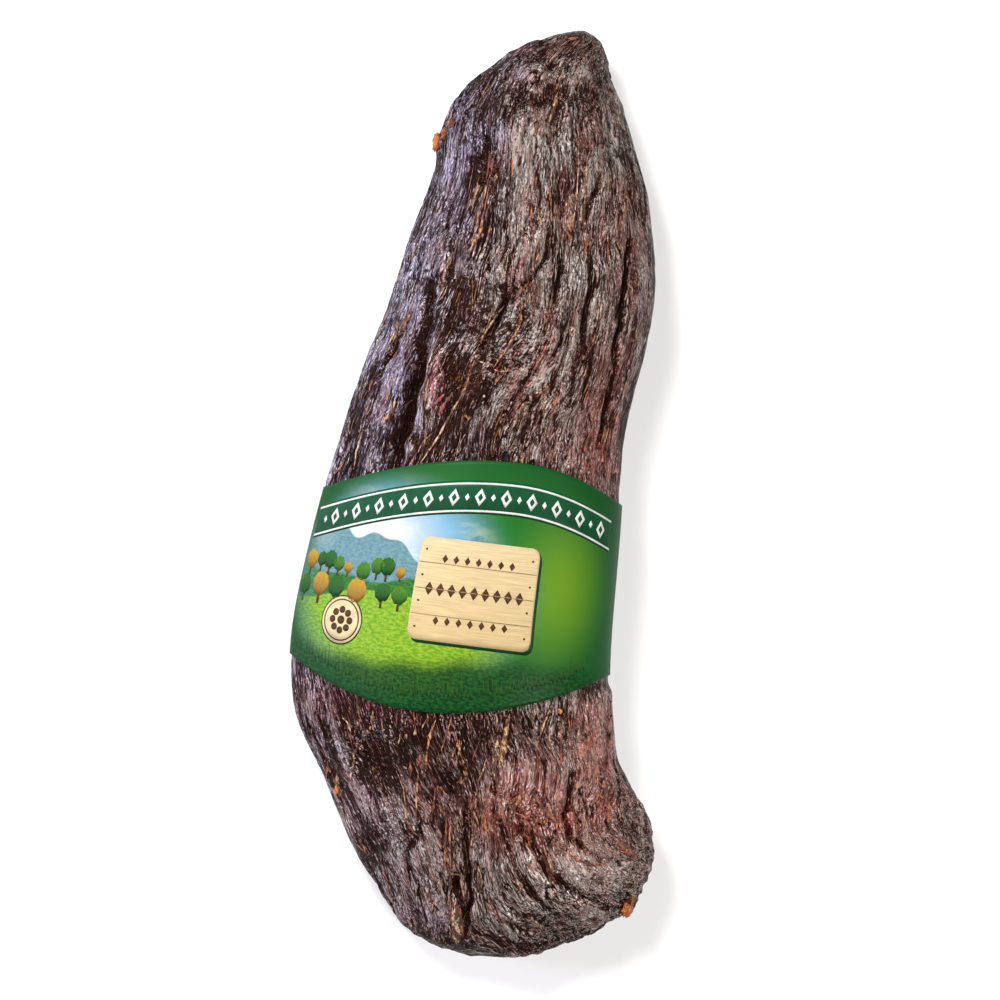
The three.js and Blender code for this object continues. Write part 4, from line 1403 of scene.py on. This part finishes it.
def blob(middle, reach, seed, rows=22, columns=32):
    """A knobbly closed lump: a ball stretched to its reach, its radius raised by |noise|."""
    down, turn = np.meshgrid(np.linspace(0, math.pi, rows + 2)[1:-1],
                             2 * math.pi * np.arange(columns) / columns, indexing="ij")
    ball = np.stack([np.sin(down) * np.cos(turn), np.sin(down) * np.sin(turn), np.cos(down)], axis=-1)
    poles = np.array([(0, 0, 1), (0, 0, -1)], float)

    def grown(points):
        """Places on the lump for places on the ball."""
        coarse, fine = np.moveaxis(points * 2.2, -1, 0), np.moveaxis(points * 5, -1, 0)
        bumps = np.abs(noise(*coarse, seed)) + 0.5 * np.abs(noise(*fine, seed + 1))
        return np.array(middle, float) + points * np.array(reach, float) * (0.82 + 0.5 * bumps)[..., None]

    tips = grown(poles)
    points, faces = closed_skin(grown(ball), tips[0], tips[1])
    return points, [part[:, ::-1] for part in faces]


def joined(shells):
    """One array of points and one list of face arrays from several shells."""
    points, faces, before = [], {}, 0
    for shell_points, shell_faces in shells:
        points.append(shell_points)
        for part in shell_faces:
            faces.setdefault(part.shape[1], []).append(part + before)
        before += len(shell_points)
    return np.concatenate(points), [np.concatenate(parts) for parts in faces.values()]


# Nubs of fat on the outline: place in plan, reach, and tint.
FAT_NUBS = (
    ((-45.6, 152.0), (1.7, 4.2, 2.4), 0.44),
    ((-43.8, 156.0), (1.3, 2.6, 1.8), 0.54),
    ((-41.2, 161.0), (1.7, 2.4, 1.4), 0.64),
    ((81.0, -178.5), (2.5, 3.6, 2.6), 0.46),
    ((79.6, -174.0), (1.5, 2.1, 1.5), 0.60),
    ((-56.5, -142.0), (1.0, 2.2, 0.9), 0.32),
)
FAT_NUB_SEED = 70


class PROSCIUTTO_OT_strands(bpy.types.Operator):
    """Makes the sinews, the fibres of fat and the nubs of fat on the meat"""

    bl_idname = "prosciutto.strands"
    bl_label = "Make sinews and fat"

    def execute(self, context):
        settings = context.scene.prosciutto_meat
        lines = np.stack([path_points(strand.path, STRAND_STEPS) for strand in STRANDS])
        lines[..., 0] += 0.22 * noise(lines[..., 1] / 4, lines[..., 0] / 9, 0.0, 31)
        half_widths = np.array([strand.half_width for strand in STRANDS])
        named_tints = np.array([strand.tint for strand in STRANDS])
        starts, lengths, *small = seeded_strands(SEEDED_STRANDS, STRAND_SEED)
        sinews, nubs = [], []
        for group, widths, heights, tints in (
            (lines, half_widths, 0.08 + 0.22 * half_widths, named_tints),
            (strand_lines(starts, lengths), *small),
        ):
            points, faces, edge = strands_on_meat(group, widths, heights, STRAND_NOISE_SEED, settings)
            sinews.append((points, faces, np.repeat(tints, len(points) // len(group)), edge))
        self.finish_piece("sinew_strands", sinews, strand_material())
        for number, (place, reach, tint) in enumerate(FAT_NUBS):
            s, a = place_on_skin(np.array([place[0]]), np.array([place[1]]))
            surface, normal, _ = meat_surface(s, a, settings)
            middle = surface[0] + normal[0] * reach[2] * 0.1
            points, faces = blob(middle, reach, FAT_NUB_SEED + number)
            nubs.append((points, faces, np.full(len(points), tint), np.zeros(len(points))))
        self.finish_piece("fat_nubs", nubs, fat_material())
        return {"FINISHED"}

    def finish_piece(self, name, parts, material):
        """Joins parts, each of points, faces, tints and nearness to its edge, into one piece that
        rides with the meat."""
        points, faces = joined([part[:2] for part in parts])
        values = {
            "tint": np.concatenate([part[2] for part in parts]),
            "edge": np.concatenate([part[3] for part in parts]),
            "grain": np.stack(fibre_places(points), axis=-1),
        }
        piece = new_mesh(name, points, faces, values)
        piece.data.materials.append(material)
        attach(piece, "root")


def rib_at(y):
    """Rib number where the left edge of the skin reaches y. Under the sleeve the ribs lie square."""
    s = np.linspace(3, 8, 2001)
    return np.interp(y, left_y(s), s)


def sleeve_y(share, a):
    """y on the sleeve: share 0 is its lower edge and 1 its upper edge, at angle a. Underneath,
    each edge runs straight from one side to the other."""

    def edge_at(edge):
        """y on one edge at the angle a."""
        s = rib_at(edge.peak)
        lx, rx = left_x(s), right_x(s)
        across = (1 - np.cos(a)) / 2
        over = sleeve_edge(edge, mixed(lx, rx, across))
        under = mixed(sleeve_edge(edge, lx), sleeve_edge(edge, rx), across)
        return np.where(np.mod(a, 2 * math.pi) <= math.pi, over, under)

    return mixed(edge_at(SLEEVE_BOTTOM), edge_at(SLEEVE_TOP), share)


def on_skin(y, a, lift):
    """The point of the skin at y and angle a, raised by lift along its normal."""
    s = rib_at(y)
    return skin(s, a) + skin_normal(s, a) * np.asarray(lift)[..., None]


def hill_mask(tree, arc, y, height, waves, softness):
    """1 below the line y = height + the sum of amplitude * sin(arc / length + phase)."""
    line = height
    for amplitude, length, phase in waves:
        turn = math_node(tree, "ADD", math_node(tree, "DIVIDE", arc, length), phase)
        line = math_node(tree, "ADD", times(tree, math_node(tree, "SINE", turn), amplitude), line)
    return ramp(tree, math_node(tree, "SUBTRACT", line, y), 0.0, softness)


# The landscape printed on the paper. Each hill has the height of its line, the line's waves as
# amplitude, length and phase, the softness of its edge and its two colours.
Hill = namedtuple("Hill", "height waves softness dark light")
FAR_HILL = Hill(
    -27, ((5.0, 14, 0.0), (3.5, 6.3, 1.0), (1.2, 2.6, 0.4)), 1.0,
    (0.065, 0.145, 0.175), (0.110, 0.200, 0.205),
)
WOOD = Hill(-42, ((4.0, 22, 0.5), (1.0, 5.0, 0.0)), 1.5, (0.012, 0.070, 0.012), (0.030, 0.130, 0.014))
MEADOW = Hill(-54, ((4.0, 30, 2.0), (1.2, 9.0, 0.6)), 1.0, (0.085, 0.200, 0.008), (0.190, 0.300, 0.018))
BANK = Hill(-74, ((3.0, 25, 0.0), (0.8, 4.0, 1.0)), 10.0, (0.002, 0.020, 0.005), (0.007, 0.060, 0.009))
SKY_BLUE, CLOUD, LIT_CLOUD = (0.14, 0.28, 0.40), (0.40, 0.45, 0.47), (0.47, 0.47, 0.42)
SPRING_GREEN = (0.085, 0.190, 0.008)
PAPER_TOOTH = 0.0001  # metres


def sleeve_material(settings):
    """Satin print: green that darkens to the ends, round a meadow under blue hills and a pale sky."""
    material, tree, shader = new_material("printed paper", Roughness=0.45, IOR=1.45, Specular_IOR_Level=0.10)
    place = attribute(tree, "print", "Vector")
    parts = add_node(tree, "ShaderNodeSeparateXYZ", {"Vector": place})
    arc, y = parts.outputs["X"], parts.outputs["Y"]

    def glow(at, reach, low, high):
        """1 within the share low of an oval's reach, 0 beyond the share high."""
        moved = vector_node(tree, "SUBTRACT", place, (*at, 0))
        scaled = vector_node(tree, "MULTIPLY", moved, (1 / reach[0], 1 / reach[1], 0))
        length = add_node(tree, "ShaderNodeVectorMath", {0: scaled}, operation="LENGTH")
        return ramp(tree, length.outputs["Value"], high, low)

    def hill_share(hill):
        """1 on the hill and 0 above it."""
        return hill_mask(tree, arc, y, hill.height, hill.waves, hill.softness)

    grass = stretched_noise(tree, place, (0.45, 0.9, 1.0), detail=4.0, roughness=0.65)
    clouds = stretched_noise(tree, place, (0.035, 0.10, 1.0), detail=4.0, roughness=0.6)
    green, dark_green = opaque(settings.green), opaque(settings.dark_green)
    color = mix_colors(tree, glow((0, -40), (104, 74), 0.2, 1.0), dark_green, green)
    color = mix_colors(tree, glow((44, -40), (30, 46), 0.0, 1.0), color, opaque(SPRING_GREEN))
    seen = glow((-26, -46), (66, 56), 0.62, 1.0)
    sky = mix_colors(tree, ramp(tree, clouds, 0.42, 0.66), opaque(SKY_BLUE), opaque(CLOUD))
    sky = mix_colors(tree, glow((-44, -26), (40, 22), 0.0, 1.0), sky, opaque(LIT_CLOUD))
    color = mix_colors(tree, times(tree, seen, glow((-40, -26), (64, 34), 0.4, 1.0)), color, sky)
    for hill in (FAR_HILL, WOOD, MEADOW):
        ground = mix_colors(tree, ramp(tree, grass, 0.40, 0.60), opaque(hill.dark), opaque(hill.light))
        color = mix_colors(tree, times(tree, seen, hill_share(hill)), color, ground)
    dark_grass = mix_colors(tree, ramp(tree, grass, 0.42, 0.60), opaque(BANK.dark), opaque(BANK.light))
    color = mix_colors(tree, times(tree, hill_share(BANK), 0.92), color, dark_grass)
    tree.links.new(color, shader.inputs["Base Color"])
    tooth = stretched_noise(tree, place, (3.0, 3.0, 3.0), detail=2.0)
    bump_shader(tree, tooth, PAPER_TOOTH, shader.inputs["Normal"], strength=0.15)
    return material


class PROSCIUTTO_OT_sleeve(bpy.types.Operator):
    """Makes the paper sleeve, a strip whose ends overlap underneath"""

    bl_idname = "prosciutto.sleeve"
    bl_label = "Make the sleeve"

    def execute(self, context):
        settings = context.scene.prosciutto_sleeve
        turn = np.linspace(0, 2 * math.pi + math.radians(settings.overlap), SLEEVE_COLUMNS)
        share, turn = np.meshgrid(np.linspace(0, 1, SLEEVE_ROWS), turn, indexing="ij")
        a = np.mod(SLEEVE_START + turn, 2 * math.pi)
        overlap = smooth(2 * math.pi - 0.5, 2 * math.pi - 0.05, turn)
        inner = settings.gap + overlap * (settings.paper + 0.05)
        y = sleeve_y(share, a)
        low, high = on_skin(y, a, inner), on_skin(y, a, inner + settings.paper)
        points, faces = slab(high, low)
        printed = np.stack([arc_places(a), y, np.zeros_like(y)], axis=-1).reshape(-1, 3)
        values = {"print": np.concatenate([printed, printed])}
        upper = np.arange(len(points)) < len(points) // 2
        sleeve = new_mesh("printed_sleeve", points, faces, values, upper)
        sleeve.data.materials.append(sleeve_material(settings))
        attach(sleeve, "root")
        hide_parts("sleeve")
        return {"FINISHED"}


# The sleeve's print is laid out in lengths round the paper, from the middle of its front, and in y.
PRINT_ROW = -44
PRINT_MIDDLE = -12


def arc_places(a):
    """Length round the paper in millimetres, from the middle of its front, at angle a."""
    angles = np.linspace(0, 2 * math.pi, 2400)
    s = rib_at(PRINT_ROW)
    points = skin(np.full_like(angles, s), angles)
    length = sums_so_far(np.linalg.norm(np.diff(points, axis=0), axis=-1))
    middle = np.interp(PRINT_MIDDLE, points[angles <= math.pi, 0], length[angles <= math.pi])
    return np.interp(a, angles, length) - middle


def angle_of_arc(arc):
    """The angle over the front at a length round the paper."""
    angles = np.linspace(0, math.pi, 1200)
    return np.interp(arc, arc_places(angles), angles)


def slab(high, low):
    """A thin closed slab from two grids of points: its top, its bottom and four walls."""
    rows, columns = high.shape[:2]
    count = rows * columns
    index = np.arange(count).reshape(rows, columns)
    corners = [index[:-1, :-1], index[:-1, 1:], index[1:, 1:], index[1:, :-1]]
    top = np.stack(corners, axis=-1).reshape(-1, 4)
    rim = np.concatenate([index[0, :], index[1:, -1], index[-1, -2::-1], index[-2:0:-1, 0]])
    ahead = np.roll(rim, -1)
    walls = np.stack([rim, rim + count, ahead + count, ahead], axis=-1)
    points = np.concatenate([high.reshape(-1, 3), low.reshape(-1, 3)])
    return points, [top, top[:, ::-1] + count, walls]


# One field of the print: the lines y = low and y = high over its arcs, its layer, its colours at
# both lines, and how far its mottling runs along the arcs and along y.
Field = namedtuple("Field", "arcs low high layer ink_low ink_high mottling")
CREAM, CREAM_SHADE = (0.46, 0.365, 0.205), (0.41, 0.305, 0.150)
PAPER_WHITE = (0.50, 0.50, 0.48)
DEEP_GREEN, RIBBON_GREEN = (0.003, 0.036, 0.013), (0.004, 0.055, 0.020)
UMBER = (0.055, 0.025, 0.012)
WOOD_GRAIN, LEAF_GRAIN, FLAT_GRAIN = (14.0, 0.7), (0.9, 0.8), (6.0, 6.0)
RIBBON_DROP, RIBBON_HEIGHT = 9.0, 15.0
PLANK_MIDDLE, PLANK_WIDTH, PLANK_HEIGHT, PLANK_CORNER = (6, -47), 54, 46, 4
MEDALLION_MIDDLE, MEDALLION_REACH = (-54, -66), 10.5
TREE_SEED = 5
LEAF_INKS = (
    ((0.005, 0.035, 0.005), (0.018, 0.085, 0.010)), ((0.012, 0.055, 0.006), (0.050, 0.140, 0.010)),
    ((0.110, 0.036, 0.006), (0.260, 0.105, 0.014)), ((0.140, 0.070, 0.008), (0.310, 0.190, 0.020)),
)
TUFT_INKS = ((0.003, 0.025, 0.004), (0.030, 0.070, 0.008))


def disc_field(middle, reach, layer, inks, mottling=FLAT_GRAIN, lumps=0.0):
    """A disc or oval; lumps makes its outline wavy."""
    turn = np.linspace(-math.pi / 2, math.pi / 2, 15)
    arcs = middle[0] + reach[0] * np.sin(turn)
    half = reach[1] * np.cos(turn) + 0.02
    high = half * (1 + lumps * np.sin(arcs * 3.1 + middle[1]))
    low = half * (1 + lumps * np.sin(arcs * 2.3 + middle[0]))
    return Field(arcs, middle[1] - low, middle[1] + high, layer, *inks, mottling)


def lozenge_field(middle, reach, layer, inks):
    """A lozenge whose corners lie at its reach."""
    share = np.linspace(-1, 1, 5)
    half = reach[1] * (1 - np.abs(share)) + 0.02
    return Field(middle[0] + reach[0] * share, middle[1] - half, middle[1] + half, layer, *inks, FLAT_GRAIN)


def plate_field(middle, width, height, corner, layer, inks, mottling):
    """A rectangle with rounded corners."""
    arcs = middle[0] + np.linspace(-width / 2, width / 2, max(int(width / 0.8), 6))
    into_corner = np.maximum(np.abs(arcs - middle[0]) - (width / 2 - corner), 0)
    half = height / 2 - corner + np.sqrt(np.maximum(corner**2 - into_corner**2, 0)) + 0.02
    return Field(arcs, middle[1] - half, middle[1] + half, layer, *inks, mottling)


def ribbon_fields():
    """The ribbon below the sleeve's upper edge, with white lines along both its edges and a row
    of white lozenges between a small one and the next."""
    arcs = np.arange(-82, 70, 1.0)
    top = sleeve_y(1.0, angle_of_arc(arcs)) - RIBBON_DROP
    fields = [Field(arcs, top - RIBBON_HEIGHT, top, 1, DEEP_GREEN, RIBBON_GREEN, FLAT_GRAIN)]
    for drop, thick in ((0.9, 0.9), (RIBBON_HEIGHT - 1.8, 0.9)):
        fields.append(Field(arcs, top - drop - thick, top - drop, 2, PAPER_WHITE, PAPER_WHITE, FLAT_GRAIN))
    for number, arc in enumerate(np.arange(-76, 68, 6.0)):
        middle = (arc, np.interp(arc, arcs, top) - RIBBON_HEIGHT / 2)
        reach = (2.6, 4.0) if number % 2 else (1.1, 1.7)
        fields.append(lozenge_field(middle, reach, 2, (PAPER_WHITE, PAPER_WHITE)))
        if number % 2:
            fields.append(lozenge_field(middle, (1.2, 1.9), 3, (RIBBON_GREEN, RIBBON_GREEN)))
    return fields


def plank_fields():
    """A pale plank of four boards with two nails in each, and three rows of brown lozenges."""
    x, y = PLANK_MIDDLE
    shadow = plate_field((x + 1.2, y - 1.4), PLANK_WIDTH, PLANK_HEIGHT, PLANK_CORNER, 1,
                         (DEEP_GREEN, DEEP_GREEN), FLAT_GRAIN)
    fields = [shadow, plate_field((x, y), PLANK_WIDTH, PLANK_HEIGHT, PLANK_CORNER, 2,
                                  (CREAM_SHADE, CREAM), WOOD_GRAIN)]
    board = PLANK_HEIGHT / 4
    for number in range(1, 4):
        seam = (x, y - PLANK_HEIGHT / 2 + number * board)
        fields.append(plate_field(seam, PLANK_WIDTH - 1, 0.45, 0.1, 3, (UMBER, CREAM_SHADE), WOOD_GRAIN))
    for row, count in ((0.30, 7), (0.0, 9), (-0.30, 7)):
        for arc in (np.arange(count) - (count - 1) / 2) * 5.0:
            middle = (x + arc, y + row * PLANK_HEIGHT)
            reach = (1.9, 3.0) if count == 9 else (1.3, 1.9)
            fields.append(lozenge_field(middle, reach, 3, (UMBER, UMBER)))
    for side in (-1, 1):
        for number in range(4):
            nail = (x + side * (PLANK_WIDTH / 2 - 3), y - PLANK_HEIGHT / 2 + (number + 0.5) * board)
            fields.append(disc_field(nail, (0.5, 0.5), 3, (UMBER, UMBER)))
    return fields


def medallion_fields():
    """A round cream medallion with two rings and a rosette of eight petals."""
    fields = []
    for layer, share, ink in ((1, 1.06, DEEP_GREEN), (2, 1.0, CREAM), (3, 0.90, UMBER), (4, 0.84, CREAM)):
        reach = (MEDALLION_REACH * share, MEDALLION_REACH * share)
        fields.append(disc_field(MEDALLION_MIDDLE, reach, layer, (ink, ink)))
    for turn in np.arange(8) * math.pi / 4:
        petal = (MEDALLION_MIDDLE[0] + 4.6 * math.cos(turn), MEDALLION_MIDDLE[1] + 4.6 * math.sin(turn))
        fields.append(disc_field(petal, (1.6, 1.6), 5, (UMBER, UMBER)))
    fields.append(disc_field(MEDALLION_MIDDLE, (1.9, 1.9), 5, (UMBER, UMBER)))
    return fields


def tree_fields(seed):
    """Round-topped trees on the meadow and tufts of grass along its lower edge."""
    random = np.random.default_rng(seed)
    fields = []
    for row_y, size, count in ((-45, 3.2, 9), (-57, 5.2, 6)):
        for arc in np.linspace(-80, -26, count) + random.uniform(-2.5, 2.5, count):
            reach = size * random.uniform(0.7, 1.2)
            middle = (arc, row_y + random.uniform(-2, 2) + reach)
            inks = LEAF_INKS[random.integers(len(LEAF_INKS))]
            trunk = ((middle[0], middle[1] - reach * 1.3), 0.16 * reach, 1.2 * reach)
            fields.append(plate_field(trunk[0], trunk[1] * 2, trunk[2], 0.1, 1, (UMBER, UMBER), FLAT_GRAIN))
            fields.append(disc_field(middle, (reach, reach * 1.1), 2, inks, LEAF_GRAIN, lumps=0.10))
    for arc in np.arange(-72, 60, 1.9):
        low = sleeve_y(0.0, angle_of_arc(arc)) + 6 + random.uniform(0, 2)
        arcs = arc + np.linspace(-1, 1, 5) * random.uniform(0.3, 0.6)
        rise = random.uniform(4, 10) * np.array([0.02, 0.5, 1.0, 0.5, 0.02])
        fields.append(Field(arcs, np.full(5, low), low + rise, 1, *TUFT_INKS, FLAT_GRAIN))
    return fields


def print_material():
    """Printed ink in the colour that each point carries, mottled and worn a little."""
    material, tree, shader = new_material("label ink", Roughness=0.45, IOR=1.45, Specular_IOR_Level=0.10)
    ink, weave = attribute(tree, "ink", "Color"), attribute(tree, "weave", "Vector")
    mottled = stretched_noise(tree, weave, (1.0, 1.0, 1.0), detail=4.0, roughness=0.6)
    share = math_node(tree, "ADD", times(tree, mottled, 0.9), 0.55)
    shaded = add_node(tree, "ShaderNodeVectorMath", {0: ink, "Scale": share}, operation="SCALE")
    tree.links.new(shaded.outputs["Vector"], shader.inputs["Base Color"])
    return material


class PROSCIUTTO_OT_label(bpy.types.Operator):
    """Makes the ribbon, the plank, the medallion and the trees printed on the sleeve"""

    bl_idname = "prosciutto.label"
    bl_label = "Make the print"

    def execute(self, context):
        settings = context.scene.prosciutto_sleeve
        paper_top = settings.gap + settings.paper
        shells, inks, weaves, uppers = [], [], [], []
        for field in ribbon_fields() + plank_fields() + tree_fields(TREE_SEED) + medallion_fields():
            rows = max(2, int(np.ceil(np.max(field.high - field.low) / 3)) + 1)
            share = np.linspace(0, 1, rows)[:, None]
            y = mixed(field.low, field.high, share)
            arcs = np.broadcast_to(field.arcs, y.shape)
            angles = angle_of_arc(arcs)
            high = on_skin(y, angles, np.full(y.shape, paper_top + settings.ink * field.layer))
            low = on_skin(y, angles, np.full(y.shape, paper_top - 0.02))
            shells.append(slab(high, low))
            ink = mixed(np.array(field.ink_low), np.array(field.ink_high), share[..., None])
            ink = np.broadcast_to(ink, (*y.shape, 3)).reshape(-1, 3)
            weave = [arcs / field.mottling[0], y / field.mottling[1], np.zeros_like(y)]
            weave = np.stack(weave, axis=-1).reshape(-1, 3)
            inks += [ink, ink]
            weaves += [weave, weave]
            uppers += [np.ones(len(weave), dtype=bool), np.zeros(len(weave), dtype=bool)]
        points, faces = joined(shells)
        values = {"ink": np.concatenate(inks), "weave": np.concatenate(weaves)}
        label = new_mesh("label_print", points, faces, values, np.concatenate(uppers))
        label.data.materials.append(print_material())
        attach(label, "root")
        return {"FINISHED"}


# The picture: its middle and the object's middle in it, in pixels from its upper left corner, and
# the size of a pixel at the height of the meat's edge.
PICTURE_MIDDLE = (500.0, 500.0)
OBJECT_MIDDLE_IN_PICTURE = (500.64, 490.2)
PIXEL_SIZE = 0.45  # millimetres
EDGE_HEIGHT = 0.022  # metres
SENSOR_WIDTH, FAR_CLIP = 36, 20

TABLE_REACH = 3000  # millimetres from its middle to each side
TABLE_COLOR, TABLE_GLOW = (0.50, 0.50, 0.50), 0.42
# The world is bright up to the first height and dull above the second.
HORIZON_TOP, DULL_FROM = 0.10, 0.30
HORIZON_COLOR, DULL_COLOR = (0.72, 0.72, 0.73), (0.06, 0.06, 0.06)
# Name, place and size in metres, power and colour. All are aimed at the middle of the meat.
SOFTBOXES = (
    ("key_softbox", (-0.60, 0.75, 1.20), (0.45, 0.6), 36, (1.0, 0.99, 0.97)),
    ("left_strip", (-1.3, -0.1, 0.40), (0.3, 1.3), 20, (0.74, 0.75, 1.0)),
    ("right_softbox", (0.80, -0.45, 1.15), (0.4, 0.5), 17, (1.0, 0.96, 0.92)),
)


def make_table():
    """A square of four corners, pale and glowing a little; returns it."""
    corners = np.array([(-1, -1, 0), (1, -1, 0), (1, 1, 0), (-1, 1, 0)], float) * TABLE_REACH
    table = new_mesh("table", corners, [np.array([[0, 1, 2, 3]])])
    material, _, _ = new_material(
        "table", Roughness=0.9, Base_Color=opaque(TABLE_COLOR), Emission_Color=(1, 1, 1, 1),
        Emission_Strength=TABLE_GLOW,
    )
    table.data.materials.append(material)
    return table


def picture_shift(lean):
    """How far the picture's middle lies from the object's, in metres along X and Y, in a picture
    whose right side is turned by the lean from +X."""
    across = (OBJECT_MIDDLE_IN_PICTURE[0] - PICTURE_MIDDLE[0]) * PIXEL_SIZE * METRES
    above = (PICTURE_MIDDLE[1] - OBJECT_MIDDLE_IN_PICTURE[1]) * PIXEL_SIZE * METRES
    cos, sin = math.cos(lean), math.sin(lean)
    return across * cos - above * sin, across * sin + above * cos


def make_camera(scene, settings):
    """A camera that looks straight down from where its picture is as wide as the view width."""
    camera_data = bpy.data.cameras.new("camera")
    camera_data.lens = settings.lens
    camera_data.sensor_width = SENSOR_WIDTH
    camera_data.clip_end = FAR_CLIP
    camera = bpy.data.objects.new("camera", camera_data)
    scene.collection.objects.link(camera)
    distance = settings.view_width * settings.lens / camera_data.sensor_width
    shift_x, shift_y = picture_shift(settings.lean)
    camera.location = (-shift_x, -shift_y, EDGE_HEIGHT + distance)
    camera.rotation_euler = (0, 0, settings.lean)
    scene.camera = camera


def make_world(scene):
    """A studio that is bright round the horizon and dull overhead."""
    world = bpy.data.worlds.new("studio")
    world.use_nodes = True
    tree = world.node_tree
    place = add_node(tree, "ShaderNodeTexCoord").outputs["Object"]
    height = add_node(tree, "ShaderNodeSeparateXYZ", {"Vector": place}).outputs["Z"]
    bright = ramp(tree, height, DULL_FROM, HORIZON_TOP)
    glow = mix_colors(tree, bright, opaque(DULL_COLOR), opaque(HORIZON_COLOR))
    tree.links.new(glow, tree.nodes["Background"].inputs["Color"])
    scene.world = world


def make_lights(scene):
    """The softboxes, which the camera doesn't see."""
    for name, place, size, power, color in SOFTBOXES:
        light_data = bpy.data.lights.new(name, "AREA")
        light_data.shape = "RECTANGLE"
        light_data.size, light_data.size_y = size
        light_data.energy = power
        light_data.color = color
        light = bpy.data.objects.new(name, light_data)
        light.location = place
        scene.collection.objects.link(light)
        aim = Vector((0, 0, 0.03)) - light.location
        light.rotation_euler = aim.to_track_quat("-Z", "Y").to_euler()
        light.visible_camera = False


class PROSCIUTTO_OT_stage(bpy.types.Operator):
    """Makes the pale table, the soft lights and the camera that looks straight down"""

    bl_idname = "prosciutto.stage"
    bl_label = "Make the stage"

    def execute(self, context):
        scene = context.scene
        scene.view_settings.view_transform = "Standard"
        table = make_table()
        make_camera(scene, scene.prosciutto_stage)
        make_world(scene)
        make_lights(scene)
        return {"FINISHED"}


class PROSCIUTTO_PT_panel(bpy.types.Panel):
    """Buttons and settings of the prosciutto"""

    bl_idname = "PROSCIUTTO_PT_panel"
    bl_label = "Prosciutto"
    bl_space_type = "VIEW_3D"
    bl_region_type = "UI"
    bl_category = "Prosciutto"

    def draw(self, context):
        groups = (
            (context.scene.prosciutto_meat, (PROSCIUTTO_OT_meat, PROSCIUTTO_OT_strands)),
            (context.scene.prosciutto_sleeve, (PROSCIUTTO_OT_sleeve, PROSCIUTTO_OT_label)),
            (context.scene.prosciutto_stage, (PROSCIUTTO_OT_stage,)),
        )
        for settings, operators in groups:
            box = self.layout.box()
            for key in settings.__annotations__:
                box.prop(settings, key)
            for operator in operators:
                box.operator(operator.bl_idname)


CLASSES = (
    MeatSettings, SleeveSettings, StageSettings,
    PROSCIUTTO_OT_meat, PROSCIUTTO_OT_strands, PROSCIUTTO_OT_sleeve, PROSCIUTTO_OT_label,
    PROSCIUTTO_OT_stage, PROSCIUTTO_PT_panel,
)


def register():
    """Registers the classes and gives each scene its settings."""
    for cls in CLASSES:
        bpy.utils.register_class(cls)
    bpy.types.Scene.prosciutto_meat = bpy.props.PointerProperty(type=MeatSettings)
    bpy.types.Scene.prosciutto_sleeve = bpy.props.PointerProperty(type=SleeveSettings)
    bpy.types.Scene.prosciutto_stage = bpy.props.PointerProperty(type=StageSettings)


def unregister():
    """Takes back what register did."""
    for key in ("prosciutto_meat", "prosciutto_sleeve", "prosciutto_stage"):
        delattr(bpy.types.Scene, key)
    for cls in reversed(CLASSES):
        bpy.utils.unregister_class(cls)


def main():
    """Makes all pieces and the stage."""
    register()
    bpy.ops.prosciutto.meat()
    bpy.ops.prosciutto.strands()
    bpy.ops.prosciutto.sleeve()
    bpy.ops.prosciutto.label()
    bpy.ops.prosciutto.stage()


if __name__ == "__main__":
    main()
